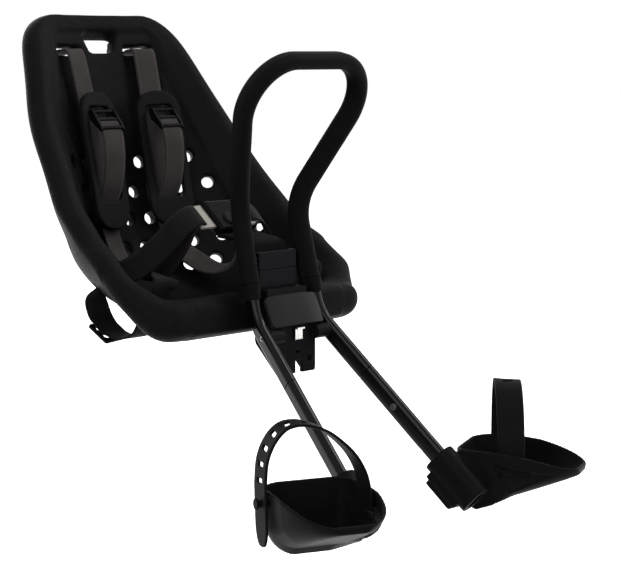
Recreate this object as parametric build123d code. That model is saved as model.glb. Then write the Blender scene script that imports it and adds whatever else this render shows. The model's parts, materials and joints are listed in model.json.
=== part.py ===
"""Front-mounted child bicycle seat: foam bucket shell, bent tube frame with a padded handle,
stem socket block, sliding footrests and a five-point harness.

Millimetres, +Z up. The seat faces -Y and the child's left is +X. The origin is the centre of the
mouth of the stem socket, on the slanted underside of the mounting block.
"""
import os
from math import atan2, cos, radians, sin, sqrt, tan

from build123d import *

# Fits
RUNNING = 0.05
SLIDING = 0.35
SEATED = 0.2

# Seat shell
SHELL_WALL = 16.0
RIM_RADIUS = 13.0
TOP_WALL = 18.0
LIP_WALL = 40.0
LIP_RADIUS = 19.0
LIP_CREST_Z = 70.0
LIP_FRONT_Y = 21.0
HOLE_DIAMETER = 13.5
HOLE_PITCH = 25.0
HANDLE_HOLE_TOP = 50.0
HANDLE_HOLE_BOTTOM = 30.0
HANDLE_HOLE_HEIGHT = 24.0
HANDLE_HOLE_Z = 311.0
HANDLE_HOLE_ROUND = 5.0
STRAP_SLOT_LENGTH = 35.0
STRAP_SLOT_HEIGHT = 9.0
STRAP_SLOT_X = 47.0
STRAP_SLOT_Z = 301.0
DIMPLE_DIAMETER = 6.0
DIMPLE_DEPTH = 4.0
CUT_REACH = 45.0

# Bent frame tube, flat oval section
TUBE_WIDTH = 10.5
TUBE_DEPTH = 18.0
TUBE_WALL = 1.5
LOOP_TOP_Z = 291.5
LOOP_TOP_HALF = 93.0
LOOP_TOP_Y = -36.5
LOOP_RADIUS = 46.0
WAIST_HALF = 38.0
WAIST_Y = 28.5
WAIST_Z = 155.0
WAIST_RADIUS = 60.0
KNEE_HALF = 41.6
KNEE_Y = 3.4
KNEE_Z = 47.0
KNEE_RADIUS = 50.0
LEG_END_HALF = 67.0
LEG_END_Y = -131.8
LEG_END_Z = -79.8
JOINT_DISTANCE = 78.0
JOINT_GAP = 0.6
SPIGOT_LENGTH = 26.0
SPIGOT_ROOM = 1.0
LEG_INSIDE_BOSS = 50.0
TOE_OUT = 23.5

# Grip and collars
GRIP_WIDTH = 15.8
GRIP_DEPTH = 21.5
GRIP_END_Z = 81.0
COLLAR_LENGTH = 15.0
COLLAR_TOP_WIDTH = 16.5
COLLAR_TOP_DEPTH = 23.5
COLLAR_END_WIDTH = 12.8
COLLAR_END_DEPTH = 20.4

# Bridge plate between the tubes
PLATE_TOP_Y = -1.6
PLATE_TOP_Z = 69.0
PLATE_FOOT_Y = -14.6
PLATE_FOOT_Z = 41.0
PLATE_HALF = 34.5
PLATE_BOW = 5.0
PLATE_THICKNESS = 3.5
PLATE_CORNER = 4.0

# Mounting block with the stem socket
BLOCK_HALF = 27.0
BLOCK_FRONT_Y = -10.0
BLOCK_BACK_Y = 19.5
BLOCK_TOP_Z = 75.0
BLOCK_CORNER = 6.0
SOCKET_WIDTH = 24.0
SOCKET_DEPTH = 12.0
SOCKET_TOP_Z = 40.0
NOTCH_WIDTH = 9.0
NOTCH_X = 4.0
NOTCH_TOP_Z = 6.0
PIN_HOLE_X = 2.5
PIN_HOLE_Z = 15.0
PIN_HOLE_DIAMETER = 4.5
KEY_HOLE_X = 18.0
KEY_HOLE_Z = 6.5
KEY_HOLE_DIAMETER = 6.0
FLANGE_THICKNESS = 2.8
FLANGE_BACK_Y = 40.0
BLOCK_TOE = 4.0
BOSS_DIAMETER = 14.0
BOSS_START_X = 22.0
FRAME_BOLT_DISTANCE = 21.5
FRAME_BOLT_DIAMETER = 6.0
FRAME_BOLT_SOCKET = 4.0
FRAME_BOLT_END_X = 48.5
FRAME_BOLT_REACH = 20.0

# Spring catch in the front of the block
CATCH_X = 1.0
CATCH_Z = 33.0
CATCH_WIDTH = 10.0
CATCH_HEIGHT = 12.0
CATCH_PLATE = 2.0
CATCH_GAP = 1.0
CATCH_PIN_DIAMETER = 5.0
CATCH_PIN_END_Y = -2.5
CATCH_HOOK = 4.0

# Strap anchor on top of the block
ANCHOR_HALF = 26.0
ANCHOR_FRONT_Y = 14.0
ANCHOR_BACK_Y = 40.0
ANCHOR_SPLIT_Z = 93.0
ANCHOR_TOP_Z = 110.0
ANCHOR_EDGE = 2.0
ANCHOR_SLOT_HALF = 23.5
ANCHOR_SLOT_FRONT_Y = 17.0
ANCHOR_SLOT_BACK_Y = 29.0
ANCHOR_SLOT_FLOOR_Z = 97.0
ANCHOR_PIN_DIAMETER = 4.0
ANCHOR_PIN_Y = 19.5
ANCHOR_PIN_Z = 104.0
CLAMP_BOLT_X = 17.0
CLAMP_BOLT_Y = 34.5
CLAMP_BOLT_DIAMETER = 5.0
CLAMP_BOLT_HEAD = 8.5
CLAMP_BOLT_HEAD_HEIGHT = 4.0

# Bolts that hold the shell lip to the block, with an insert moulded into the foam
SHELL_BOLT_X = 18.0
SHELL_BOLT_Z = 52.0
SHELL_BOLT_DIAMETER = 6.0
SHELL_BOLT_HEAD = 10.0
SHELL_BOLT_HEAD_HEIGHT = 4.0
SHELL_BOLT_START_Y = 6.0
INSERT_FRONT_Y = 34.0
INSERT_THICKNESS = 5.0
INSERT_HALF = 28.0
INSERT_HEIGHT = 16.0

# Leg screw
LEG_SCREW_DISTANCE = 63.7
LEG_SCREW_DIAMETER = 4.0
LEG_SCREW_HEAD = 6.5
LEG_SCREW_HEAD_HEIGHT = 1.2

# Footrest
FOOT_HEEL_X = 114.0
FOOT_HEEL_Y = -126.0
FOOT_SOLE_Z = -131.0
FOOT_HEEL_LIFT = 6.0
FOOT_LENGTH = 117.0
FOOT_HALF = 46.0
FOOT_TOE_HALF = 41.0
FOOT_DRAFT = 6.0
FOOT_WALL = 3.0
FOOT_RIM_Z = -72.0
FOOT_TOE_RIM_Z = -89.0
FOOT_RIM_TURN = 62.0
FOOT_SOLE_RISE = 20.5
FOOT_SOLE_TURN = 18.0
FOOT_HEEL_ROUND = 18.0
FOOT_TOE_ROUND = 18.0
FOOT_BOSS_LENGTH = 55.0
FOOT_BOSS_WIDTH = 24.0
FOOT_BOSS_DEPTH = 32.0
TOE_BAR_LENGTH = 46.0
TOE_BAR_HEIGHT = 3.0
TOE_BAR_WIDTH = 7.0
TOE_BAR_T = 88.0
FOOT_WINDOW_LENGTH = 30.0
FOOT_WINDOW_HEIGHT = 9.0
FOOT_WINDOW_T = 62.0
FOOT_WINDOW_Z = -90.0

# Footrest release tab behind the boss
TAB_WIDTH = 14.0
TAB_LENGTH = 34.0
TAB_THICKNESS = 5.0
TAB_CORNER = 3.0
TAB_PIN_DIAMETER = 5.0
TAB_PIN_ENTRY = 4.5
TAB_GAP = 4.0
TAB_START = 10.0
FOOT_TRAVEL = 45.0

# Foot strap
FOOT_STRAP_WIDTH = 26.0
FOOT_STRAP_THICKNESS = 2.6
STRAP_ROOT_T = 55.0
STRAP_HOOK_T = 26.0
STRAP_ROOT_Z = -92.0
STUD_DIAMETER = 6.0
STUD_LENGTH = 8.0
STUD_HEAD_DIAMETER = 10.0
STUD_HEAD_HEIGHT = 2.0
STUD_SINK = 2.0
STUD_Z = -84.0

# Harness
WEBBING_WIDTH = 26.0
WEBBING_THICKNESS = 1.8
PASSAGE_EXTRA_WIDTH = 1.0
PASSAGE_EXTRA_THICKNESS = 7.0
PAD_X = 40.5
PAD_Y = 216.5
PAD_Z = 190.5
PAD_LEAN_Y = -29.9
PAD_LEAN_Z = -139.0
PAD_TILT = 11.0
PAD_LENGTH = 141.0
PAD_WIDTH = 52.0
PAD_THICKNESS = 7.0
PAD_CORNER = 22.0
PAD_WINDOW_LENGTH = 97.0
PAD_WINDOW_WIDTH = 33.0
PAD_WINDOW_SHIFT = 7.0
PAD_WINDOW_CORNER = 5.0
ADJUSTER_TOP_Y = 225.0
ADJUSTER_TOP_Z = 242.0
ADJUSTER_FOOT_Y = 206.0
ADJUSTER_FOOT_Z = 221.0
ADJUSTER_WIDTH = 31.0
ADJUSTER_THICKNESS = 4.0
ADJUSTER_SLOT = 7.0
ADJUSTER_SLOT_PITCH = 11.0
SLIDER_LENGTH = 28.0
SLIDER_WIDTH = 34.0
SLIDER_THICKNESS = 3.0
SLIDER_SLOT = 6.0
SLIDER_SLOT_PITCH = 11.0
CROTCH_WIDTH = 46.0
CROTCH_THICKNESS = 4.0

# Buckle
BUCKLE_Y = 90.0
BUCKLE_Z = 137.0
BUCKLE_RISE = 40.0
BUCKLE_WIDTH = 38.0
BUCKLE_LENGTH = 40.0
BUCKLE_THICKNESS = 14.0
BUCKLE_ROUND = 4.0
BUTTON_DIAMETER = 16.0
BUTTON_HEIGHT = 7.0
BUTTON_PROUD = 2.5
BUTTON_SHIFT = 8.0
BUTTON_STROKE = 3.0
BUTTON_CHAMFER = 1.0
TONGUE_SHIFT = 3.0
TONGUE_CORNER = 3.0
TONGUE_WIDTH = 30.0
TONGUE_LENGTH = 26.0
TONGUE_THICKNESS = 3.5
TONGUE_SLOT = 6.0
TONGUE_INSERT = 8.0


def station(seat_y, seat_z, tilt, rim_rise, rim_half, wall, rim_radius):
    """One cross section of the shell: seat point, tilt of its plane, rim height and half width."""
    return {"y": seat_y, "z": seat_z, "tilt": tilt, "rise": rim_rise, "half": rim_half,
            "wall": wall, "radius": rim_radius}


def lip_station(seat_y, drop, tilt, half, share):
    """Section of the front lip, reduced toward its rounded front."""
    return station(seat_y, LIP_CREST_Z - drop, tilt, -LIP_WALL * share / 2, half, LIP_WALL * share,
                   LIP_RADIUS * share)


SHELL_STATIONS = [
    station(277.0, 337.5, 75.0, -7.0, 51.0, TOP_WALL, 9.0),
    station(275.5, 331.5, 75.0, -5.0, 71.0, TOP_WALL, 10.5),
    station(272.0, 319.0, 75.0, -2.0, 84.0, TOP_WALL, 12.0),
    station(266.0, 294.0, 75.0, 6.0, 95.0, SHELL_WALL, RIM_RADIUS),
    station(257.0, 256.0, 75.0, 17.0, 107.0, SHELL_WALL, RIM_RADIUS),
    station(247.0, 215.0, 75.0, 30.0, 119.0, SHELL_WALL, RIM_RADIUS),
    station(234.0, 162.0, 75.0, 53.0, 129.0, SHELL_WALL, RIM_RADIUS),
    station(219.0, 110.0, 74.0, 80.0, 137.0, SHELL_WALL, RIM_RADIUS),
    station(199.0, 77.0, 68.0, 90.0, 140.0, SHELL_WALL, RIM_RADIUS),
    station(160.0, 55.0, 61.0, 79.0, 143.0, SHELL_WALL, RIM_RADIUS),
    station(112.0, 49.0, 54.0, 50.0, 144.0, 17.0, 14.0),
    station(76.0, 53.0, 44.0, 20.0, 138.0, 22.0, 15.0),
    lip_station(44.0, 0.0, 14.0, 121.0, 1.0),
    lip_station(29.0, 1.5, 2.0, 115.0, 0.9),
    lip_station(LIP_FRONT_Y, 8.0, 0.0, 107.0, 0.6),
]


def section_plane(s):
    """Plane of a shell section: X across the seat, local Y out of the seat surface."""
    out_y = -sin(radians(s["tilt"]))
    out_z = cos(radians(s["tilt"]))
    return Plane(origin=(0, s["y"], s["z"]), x_dir=(1, 0, 0), z_dir=(0, -out_z, out_y))


def section_ends(s):
    """Inner end, tip and outer end of the round rim on the +X side of a section."""
    lean = 2 * atan2(s["rise"] + s["wall"] / 2, s["half"])
    across = Vector(cos(lean), sin(lean)) * s["radius"]
    inward = Vector(-sin(lean), cos(lean)) * s["radius"]
    centre = Vector(s["half"], s["rise"])
    return centre + inward, centre + across, centre - inward


def shell_section(s):
    """Crescent section with thick round ends."""
    inner, tip, outer = section_ends(s)
    far_inner, far_tip, far_outer = [Vector(-p.X, p.Y) for p in (inner, tip, outer)]
    edges = [
        ThreePointArc(far_inner, Vector(0, 0), inner),
        ThreePointArc(inner, tip, outer),
        ThreePointArc(outer, Vector(0, -s["wall"]), far_outer),
        ThreePointArc(far_outer, far_tip, far_inner),
    ]
    return section_plane(s) * make_face(Wire(edges))


def blended_station(key, value):
    """Section between two stations, found by the height or depth of its seat point."""
    for a, b in zip(SHELL_STATIONS, SHELL_STATIONS[1:]):
        low, high = sorted((a[key], b[key]))
        if low <= value <= high and high > low:
            share = (value - a[key]) / (b[key] - a[key])
            return {name: a[name] + share * (b[name] - a[name]) for name in a}
    raise ValueError("no shell section there")


def seat_frame(s, x):
    """Plane on the seat surface at a section and a distance across it, normal out of the seat."""
    inner = section_ends(s)[0]
    bow = (inner.X ** 2 + inner.Y ** 2) / (2 * inner.Y)
    rise = bow - sqrt(bow ** 2 - x ** 2)
    local = section_plane(s)
    point = local.from_local_coords(Vector(x, rise, 0))
    outward = local.from_local_coords(Vector(0, bow, 0)) - point
    return Plane(origin=point, x_dir=outward.cross(local.z_dir), z_dir=outward)


def vent_places():
    """Section and sideways place of every round vent, staggered from row to row."""
    rows = [(186.0, 3.0), (156.0, 3.5), (128.0, 4.0), (100.0, 4.5), (77.0, 4.0)]
    places = []
    for z, reach in rows:
        s = blended_station("z", z)
        for step in range(int(2 * reach) + 1):
            x = (step - reach) * HOLE_PITCH
            if x or z < rows[0][0]:
                places.append((s, x))
    return places


def mirrored(shape):
    """The same piece on the child's right."""
    return mirror(shape, about=Plane.YZ)


def ribbon(points, across, width, thickness):
    """Flat band through points, lying with its width along the given directions."""
    sections = []
    last = len(points) - 1
    for i, point in enumerate(points):
        along = points[min(i + 1, last)] - points[max(i - 1, 0)]
        plane = Plane(origin=point, x_dir=across[i] - along * (across[i].dot(along) / along.dot(along)),
                      z_dir=along)
        sections.append(plane * Rectangle(width, thickness))
    return loft(sections, ruled=True)


def ranked(values):
    """Vectors from triples."""
    return [Vector(*v) for v in values]


# Lap strap of the child's left, from the tongue through the hip slot, round below and back in
LAP_POINTS = ranked([
    (31, 90.3, 141.3), (41, 90.3, 141.3), (57, 93, 134), (73, 100, 119), (88, 109, 105), (100, 116, 95),
    (111, 124, 88), (121, 132, 81), (123, 140, 68), (118, 142.5, 55), (113, 141, 44), (111, 132, 34),
    (110, 118, 29), (110, 102, 29), (110, 87, 35), (108, 78, 50), (105, 70, 66), (101, 66, 82), (92, 74, 88),
])
LAP_ACROSS = ranked([
    (0, 0.77, 0.64), (0, 0.77, 0.64), (0, 0.6, 0.8), (0, 0.4, 0.9), (0, 0.4, 0.9), (-0.1, 0.4, 0.9),
    (-0.3, 0.4, 0.8), (-0.7, 0.5, 0.4), (-1, 0.2, 0.1),
]) + [Vector(-1, 0, 0)] * 10
# Shoulder strap of the child's left, from behind the shell over the back and down to the tongue
SHOULDER_POINTS = ranked([
    (50, 289, 295.5), (48.5, 278, 298), (47, 266, 301), (46, 256.5, 297.5), (44.5, 246, 262), (42.5, 230, 203),
    (41, 213.8, 128), (42, 200.5, 100), (47, 181, 86), (53, 157, 77), (51, 130, 86), (44, 109, 114),
    (41, 94.3, 136.6), (31, 94.3, 136.6),
])
SHOULDER_ACROSS = ranked([
    (1, -0.1, 0), (1, -0.1, 0), (1, -0.15, 0), (1, -0.2, 0), (1, -0.2, 0), (1, -0.2, 0),
    (1, -0.25, 0), (1, -0.3, 0), (1, -0.2, 0.2), (1, 0, 0.3), (0.8, 0.5, 0.4), (0.4, 0.7, 0.6),
    (0, 0.77, 0.64), (0, 0.77, 0.64),
])
LAP_EXIT = (4, 10)
LAP_RETURN = (14, 19)
LAP_LOWEST = 11


def seat_shell():
    """Foam bucket: lofted from the top of the back to the front lip, with vents and slots."""
    shell = loft([shell_section(s) for s in SHELL_STATIONS])
    cuts = []
    for s, x in vent_places():
        cuts.append(seat_frame(s, x) * Cylinder(HOLE_DIAMETER / 2, CUT_REACH))
    window = Polyline((-HANDLE_HOLE_TOP / 2, HANDLE_HOLE_HEIGHT / 2), (HANDLE_HOLE_TOP / 2, HANDLE_HOLE_HEIGHT / 2),
                      (HANDLE_HOLE_BOTTOM / 2, -HANDLE_HOLE_HEIGHT / 2),
                      (-HANDLE_HOLE_BOTTOM / 2, -HANDLE_HOLE_HEIGHT / 2), close=True)
    window = fillet(make_face(window).vertices(), HANDLE_HOLE_ROUND)
    back = section_plane(blended_station("z", HANDLE_HOLE_Z))
    back = Plane(origin=back.origin, x_dir=(1, 0, 0), z_dir=back.y_dir)
    cuts.append(back * extrude(window, CUT_REACH / 2, both=True))
    strap = blended_station("z", STRAP_SLOT_Z)
    for side in (-1, 1):
        slot = SlotOverall(STRAP_SLOT_LENGTH, STRAP_SLOT_HEIGHT)
        cuts.append(seat_frame(strap, side * STRAP_SLOT_X) * extrude(slot, CUT_REACH / 2, both=True))
    for start, end in (LAP_EXIT, LAP_RETURN):
        passage = ribbon(LAP_POINTS[start:end], LAP_ACROSS[start:end], WEBBING_WIDTH + PASSAGE_EXTRA_WIDTH,
                         WEBBING_THICKNESS + PASSAGE_EXTRA_THICKNESS)
        cuts += [passage, mirrored(passage)]
    for z, x in ((276.0, 66.0), (262.0, 76.0)):
        for side in (-1, 1):
            cuts.append(seat_frame(blended_station("z", z), side * x) * Cylinder(DIMPLE_DIAMETER / 2, 2 * DIMPLE_DEPTH))
    for side in (-1, 1):
        bolt = Cylinder(SHELL_BOLT_DIAMETER / 2 + SEATED, INSERT_FRONT_Y - LIP_FRONT_Y + CUT_REACH / 2)
        cuts.append(Pos(side * SHELL_BOLT_X, LIP_FRONT_Y, SHELL_BOLT_Z) * Rot(90, 0, 0) * bolt)
    cuts.append(shell_insert(SEATED))
    return shell - cuts


def shell_insert(grow=0.0):
    """Threaded plate moulded into the foam of the lip."""
    plate = Box(2 * (INSERT_HALF + grow), INSERT_THICKNESS + 2 * grow, INSERT_HEIGHT + 2 * grow)
    plate = Pos(0, INSERT_FRONT_Y + INSERT_THICKNESS / 2, SHELL_BOLT_Z) * plate
    if grow:
        return plate
    return plate - [shell_bolt_place(side) * Cylinder(SHELL_BOLT_DIAMETER / 2 + RUNNING, CUT_REACH) for side in (-1, 1)]


def shell_bolt_place(side):
    """Axis of a shell bolt, pointing out of the front of the block."""
    return Pos(side * SHELL_BOLT_X, INSERT_FRONT_Y, SHELL_BOLT_Z) * Rot(90, 0, 0)


def shell_bolts():
    """Pair of bolts from the block into the insert, one on each side."""
    pair = []
    shank_length = INSERT_FRONT_Y + INSERT_THICKNESS - SHELL_BOLT_START_Y
    for side in (-1, 1):
        place = Pos(side * SHELL_BOLT_X, SHELL_BOLT_START_Y, SHELL_BOLT_Z) * Rot(-90, 0, 0)
        shank = place * Pos(0, 0, shank_length / 2) * Cylinder(SHELL_BOLT_DIAMETER / 2, shank_length)
        head = place * Pos(0, 0, -SHELL_BOLT_HEAD_HEIGHT / 2) * Cylinder(SHELL_BOLT_HEAD / 2, SHELL_BOLT_HEAD_HEIGHT)
        pair.append(shank + head)
    return pair


def frame_points():
    """Corner points of the frame path on the child's left, from the top of the loop down."""
    knee = Vector(KNEE_HALF, KNEE_Y, KNEE_Z)
    foot = Vector(LEG_END_HALF, LEG_END_Y, LEG_END_Z)
    joint = knee + (foot - knee).normalized() * JOINT_DISTANCE
    return [
        Vector(0, LOOP_TOP_Y, LOOP_TOP_Z),
        Vector(LOOP_TOP_HALF, LOOP_TOP_Y, LOOP_TOP_Z),
        Vector(WAIST_HALF, WAIST_Y, WAIST_Z),
        knee,
        joint,
        foot,
    ]


def leg_direction():
    """Unit direction down the leg."""
    points = frame_points()
    return (points[5] - points[3]).normalized()


def toe_direction():
    """Level unit direction in which the footrest of the child's left points."""
    return Vector(sin(radians(TOE_OUT)), -cos(radians(TOE_OUT)), 0)


def leg_depth():
    """Unit direction across the flat of the leg, in the upright plane of the toes."""
    down = leg_direction()
    up = Vector(0, 0, 1)
    blended = up - down * up.dot(down)
    side = toe_direction().cross(up)
    side = side - down * side.dot(down)
    return side.cross(down).normalized() if side.cross(down).dot(blended) > 0 else down.cross(side).normalized()


def carried(vector, old, new):
    """A direction taken round a bend without twist."""
    angle = old.get_angle(new)
    return vector.rotate(Axis((0, 0, 0), old.cross(new)), angle)


def tube_depths():
    """Direction of the long side of the tube section on each straight, top first."""
    points = frame_points()
    runs = [(b - a).normalized() for a, b in zip(points[:4], points[1:5])]
    depths = [leg_depth()]
    for lower, upper in zip(runs[:0:-1], runs[-2::-1]):
        depths.insert(0, carried(depths[0], lower, upper))
    return depths


def oval(origin, along, depth, depth_size, width_size):
    """Flat oval face square to a tube."""
    return Plane(origin=origin, x_dir=depth, z_dir=along) * SlotOverall(depth_size, width_size)


def tube_section(origin, along, depth):
    """Flat oval of the frame tube."""
    return oval(origin, along, depth, TUBE_DEPTH, TUBE_WIDTH)


def tube_room(origin, along, depth):
    """Flat oval of the hole in a sleeve that fits the frame tube."""
    return oval(origin, along, depth, TUBE_DEPTH + 2 * SEATED, TUBE_WIDTH + 2 * SEATED)


def grip_section(origin, along, depth):
    """Ring of the grip round the frame tube."""
    return oval(origin, along, depth, GRIP_DEPTH, GRIP_WIDTH) - tube_room(origin, along, depth)


def bent_tube(path, section):
    """Tube from the middle of the handle down: extruded on the straights, turned round the bends."""
    depth = tube_depths()[0]
    tube = None
    for edge in path.edges():
        along = edge % 0
        onward = edge % 1
        face = section(edge @ 0, along, depth)
        if edge.geom_type == GeomType.LINE:
            run = extrude(face, edge.length)
        else:
            run = revolve(face, Axis(edge.arc_center, along.cross(onward)), along.get_angle(onward))
            depth = carried(depth, along, onward)
        tube = run if tube is None else tube + run
    return tube


def frame_tube():
    """Bent tube of the handle and the upper legs, with bored ends."""
    path = FilletPolyline(*frame_points()[:5], radius=(LOOP_RADIUS, WAIST_RADIUS, KNEE_RADIUS))
    half = bent_tube(path, tube_section)
    joint = frame_points()[4]
    bore = oval(joint, -leg_direction(), leg_depth(), TUBE_DEPTH - 2 * TUBE_WALL, TUBE_WIDTH - 2 * TUBE_WALL)
    half -= extrude(bore, SPIGOT_LENGTH + SPIGOT_ROOM)
    half -= frame_bolt_way()
    return half + mirrored(half)


def lower_leg():
    """Lower leg with a spigot in the frame tube."""
    joint, foot = frame_points()[4:6]
    down = leg_direction()
    depth = leg_depth()
    start = joint + down * JOINT_GAP
    length = (foot - start).length + LEG_INSIDE_BOSS
    leg = extrude(oval(start, down, depth, TUBE_DEPTH, TUBE_WIDTH), length)
    leg += extrude(oval(start, -down, depth, TUBE_DEPTH - 2 * TUBE_WALL - 2 * SEATED,
                        TUBE_WIDTH - 2 * TUBE_WALL - 2 * SEATED), SPIGOT_LENGTH)
    leg -= leg_screw_place() * Cylinder(LEG_SCREW_DIAMETER / 2 + RUNNING, TUBE_WIDTH)
    track_width = TAB_PIN_DIAMETER + 2 * SLIDING
    track = Pos(-FOOT_TRAVEL / 2, 0, tab_pin_tip() - SLIDING) * SlotOverall(FOOT_TRAVEL + track_width, track_width)
    return leg - tab_place() * extrude(track, TUBE_DEPTH)


def leg_screw_place():
    """Place of the screw on the inner side of the leg, its axis pointing inward."""
    centre = frame_points()[5] - leg_direction() * LEG_SCREW_DISTANCE
    inward = leg_depth().cross(leg_direction())
    inward = inward if inward.X < 0 else -inward
    return Plane(origin=centre + inward * (TUBE_WIDTH / 2), x_dir=leg_direction(), z_dir=inward).location


def leg_screw():
    """Button head screw in the inner side of the leg."""
    shank = Pos(0, 0, -TUBE_WIDTH / 4) * Cylinder(LEG_SCREW_DIAMETER / 2, TUBE_WIDTH / 2)
    head = Pos(0, 0, LEG_SCREW_HEAD_HEIGHT / 2) * Cylinder(LEG_SCREW_HEAD / 2, LEG_SCREW_HEAD_HEIGHT)
    socket = Pos(0, 0, LEG_SCREW_HEAD_HEIGHT) * extrude(RegularPolygon(LEG_SCREW_DIAMETER / 2, 6), -LEG_SCREW_HEAD_HEIGHT)
    return leg_screw_place() * (shank + head - socket)


def waist_run_point(z):
    """Point at a height on the straight run between the waist and the knee."""
    waist, knee = frame_points()[2:4]
    return waist + (knee - waist) * ((waist.Z - z) / (waist.Z - knee.Z))


def handle_grip():
    """Foam sleeve over the handle loop, ending above the collars."""
    path = FilletPolyline(*frame_points()[:3], waist_run_point(GRIP_END_Z), radius=(LOOP_RADIUS, WAIST_RADIUS))
    half = bent_tube(path, grip_section)
    return half + mirrored(half)


def collar():
    """Tapered sleeve below the grip."""
    waist, knee = frame_points()[2:4]
    along = (knee - waist).normalized()
    depth = tube_depths()[2]
    top = waist_run_point(GRIP_END_Z - SEATED)
    foot = top + along * COLLAR_LENGTH
    body = loft([oval(top, along, depth, COLLAR_TOP_DEPTH, COLLAR_TOP_WIDTH),
                 oval(foot, along, depth, COLLAR_END_DEPTH, COLLAR_END_WIDTH)])
    return body - extrude(tube_room(top - along, along, depth), 2 * COLLAR_LENGTH)


def bridge_plate():
    """Bowed cover plate between the two tubes."""
    top = Vector(0, PLATE_TOP_Y, PLATE_TOP_Z)
    foot = Vector(0, PLATE_FOOT_Y, PLATE_FOOT_Z)
    plane = Plane(origin=top, x_dir=(1, 0, 0), z_dir=foot - top)
    outward = 1 if plane.y_dir.Y < 0 else -1
    front = ThreePointArc((-PLATE_HALF, 0), (0, outward * PLATE_BOW), (PLATE_HALF, 0))
    back = ThreePointArc((PLATE_HALF, -outward * PLATE_THICKNESS), (0, outward * (PLATE_BOW - PLATE_THICKNESS)),
                         (-PLATE_HALF, -outward * PLATE_THICKNESS))
    face = make_face([front, Line(front @ 1, back @ 0), back, Line(back @ 1, front @ 0)])
    plate = plane * extrude(face, (foot - top).length)
    corners = plate.edges().filter_by(Axis((0, 0, 0), plane.y_dir))
    return fillet(corners, PLATE_CORNER)


def plate_normal():
    """Unit direction out of the front of the bridge plate."""
    lean = Vector(0, PLATE_FOOT_Y - PLATE_TOP_Y, PLATE_FOOT_Z - PLATE_TOP_Z).normalized()
    return Vector(0, lean.Z, -lean.Y)


def mounting_block():
    """Block under the plate with the stem socket, open on its slanted underside."""
    behind = plate_normal() * (PLATE_THICKNESS + SEATED)
    top_front = Vector(0, PLATE_TOP_Y, PLATE_TOP_Z) - behind
    foot_front = Vector(0, PLATE_FOOT_Y, PLATE_FOOT_Z) - behind
    toe_z = BLOCK_FRONT_Y + BLOCK_TOE
    under_flange = BLOCK_TOP_Z - FLANGE_THICKNESS
    side = Polyline((toe_z, toe_z), (BLOCK_FRONT_Y, toe_z), (BLOCK_FRONT_Y, foot_front.Z),
                    (foot_front.Y, foot_front.Z), (top_front.Y, top_front.Z), (top_front.Y, BLOCK_TOP_Z),
                    (FLANGE_BACK_Y, BLOCK_TOP_Z), (FLANGE_BACK_Y, under_flange), (BLOCK_BACK_Y, under_flange),
                    (BLOCK_BACK_Y, BLOCK_BACK_Y), close=True)
    block = Plane.YZ * extrude(make_face(side), BLOCK_HALF, both=True)
    corners = block.edges().filter_by(Axis((0, 0, 0), (0, 1, 1))).group_by(Axis.Z)[0]
    block = fillet(corners, BLOCK_CORNER)
    boss = frame_bolt_axis() * Pos(0, 0, KNEE_HALF) * Cylinder(BOSS_DIAMETER / 2, 2 * (KNEE_HALF - BOSS_START_X))
    outward = leg_width()
    tube_side = Plane(origin=frame_bolt_point() - outward * (TUBE_WIDTH / 2 + SEATED), z_dir=outward)
    boss = split(boss, bisect_by=tube_side, keep=Keep.BOTTOM)
    block += [boss, mirrored(boss)]
    socket = Pos(0, 0, SOCKET_TOP_Z / 2) * Box(SOCKET_WIDTH, SOCKET_DEPTH, SOCKET_TOP_Z)
    socket += Pos(0, 0, -SOCKET_TOP_Z / 4) * Box(SOCKET_WIDTH, SOCKET_DEPTH, SOCKET_TOP_Z)
    notch_height = NOTCH_TOP_Z - 2 * BLOCK_FRONT_Y
    notch = Pos(NOTCH_X, BLOCK_FRONT_Y, NOTCH_TOP_Z - notch_height / 2) * Box(NOTCH_WIDTH, SOCKET_DEPTH, notch_height)
    front = Pos(0, BLOCK_FRONT_Y, 0) * Rot(90, 0, 0)
    pin_hole = front * Pos(PIN_HOLE_X, PIN_HOLE_Z, 0) * Cylinder(PIN_HOLE_DIAMETER / 2, SOCKET_DEPTH)
    key_hole = front * Pos(KEY_HOLE_X, KEY_HOLE_Z, 0) * Cylinder(KEY_HOLE_DIAMETER / 2, SOCKET_DEPTH / 2)
    catch_hole = front * Pos(CATCH_X, CATCH_Z, 0) * Cylinder(CATCH_PIN_DIAMETER / 2 + RUNNING, SOCKET_DEPTH)
    cuts = [socket, notch, pin_hole, key_hole, catch_hole, frame_bolt_way(), mirrored(frame_bolt_way())]
    for hand in (-1, 1):
        cuts.append(shell_bolt_place(hand) * Cylinder(SHELL_BOLT_DIAMETER / 2 + RUNNING, 2 * CUT_REACH))
        head = Rot(90, 0, 0) * Cylinder(SHELL_BOLT_HEAD / 2 + SEATED, 2 * CUT_REACH)
        cuts.append(Pos(hand * SHELL_BOLT_X, SHELL_BOLT_START_Y - CUT_REACH, SHELL_BOLT_Z) * head)
        cuts.append(clamp_bolt_way(hand))
    return block - cuts


def leg_width():
    """Unit direction out of the outer flat of the leg."""
    across = leg_depth().cross(leg_direction())
    return across if across.X > 0 else -across


def frame_bolt_point():
    """Middle of the tube where the frame bolt crosses it."""
    return frame_points()[3] + leg_direction() * FRAME_BOLT_DISTANCE


def frame_bolt_axis():
    """Axis of the bolts that join the frame to the block."""
    point = frame_bolt_point()
    return Pos(0, point.Y, point.Z) * Rot(0, 90, 0)


def frame_bolt_way():
    """Hole for the frame bolt of the child's left."""
    hole = Cylinder(FRAME_BOLT_DIAMETER / 2 + RUNNING, 2 * FRAME_BOLT_REACH)
    return frame_bolt_axis() * Pos(0, 0, FRAME_BOLT_END_X) * hole


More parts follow.
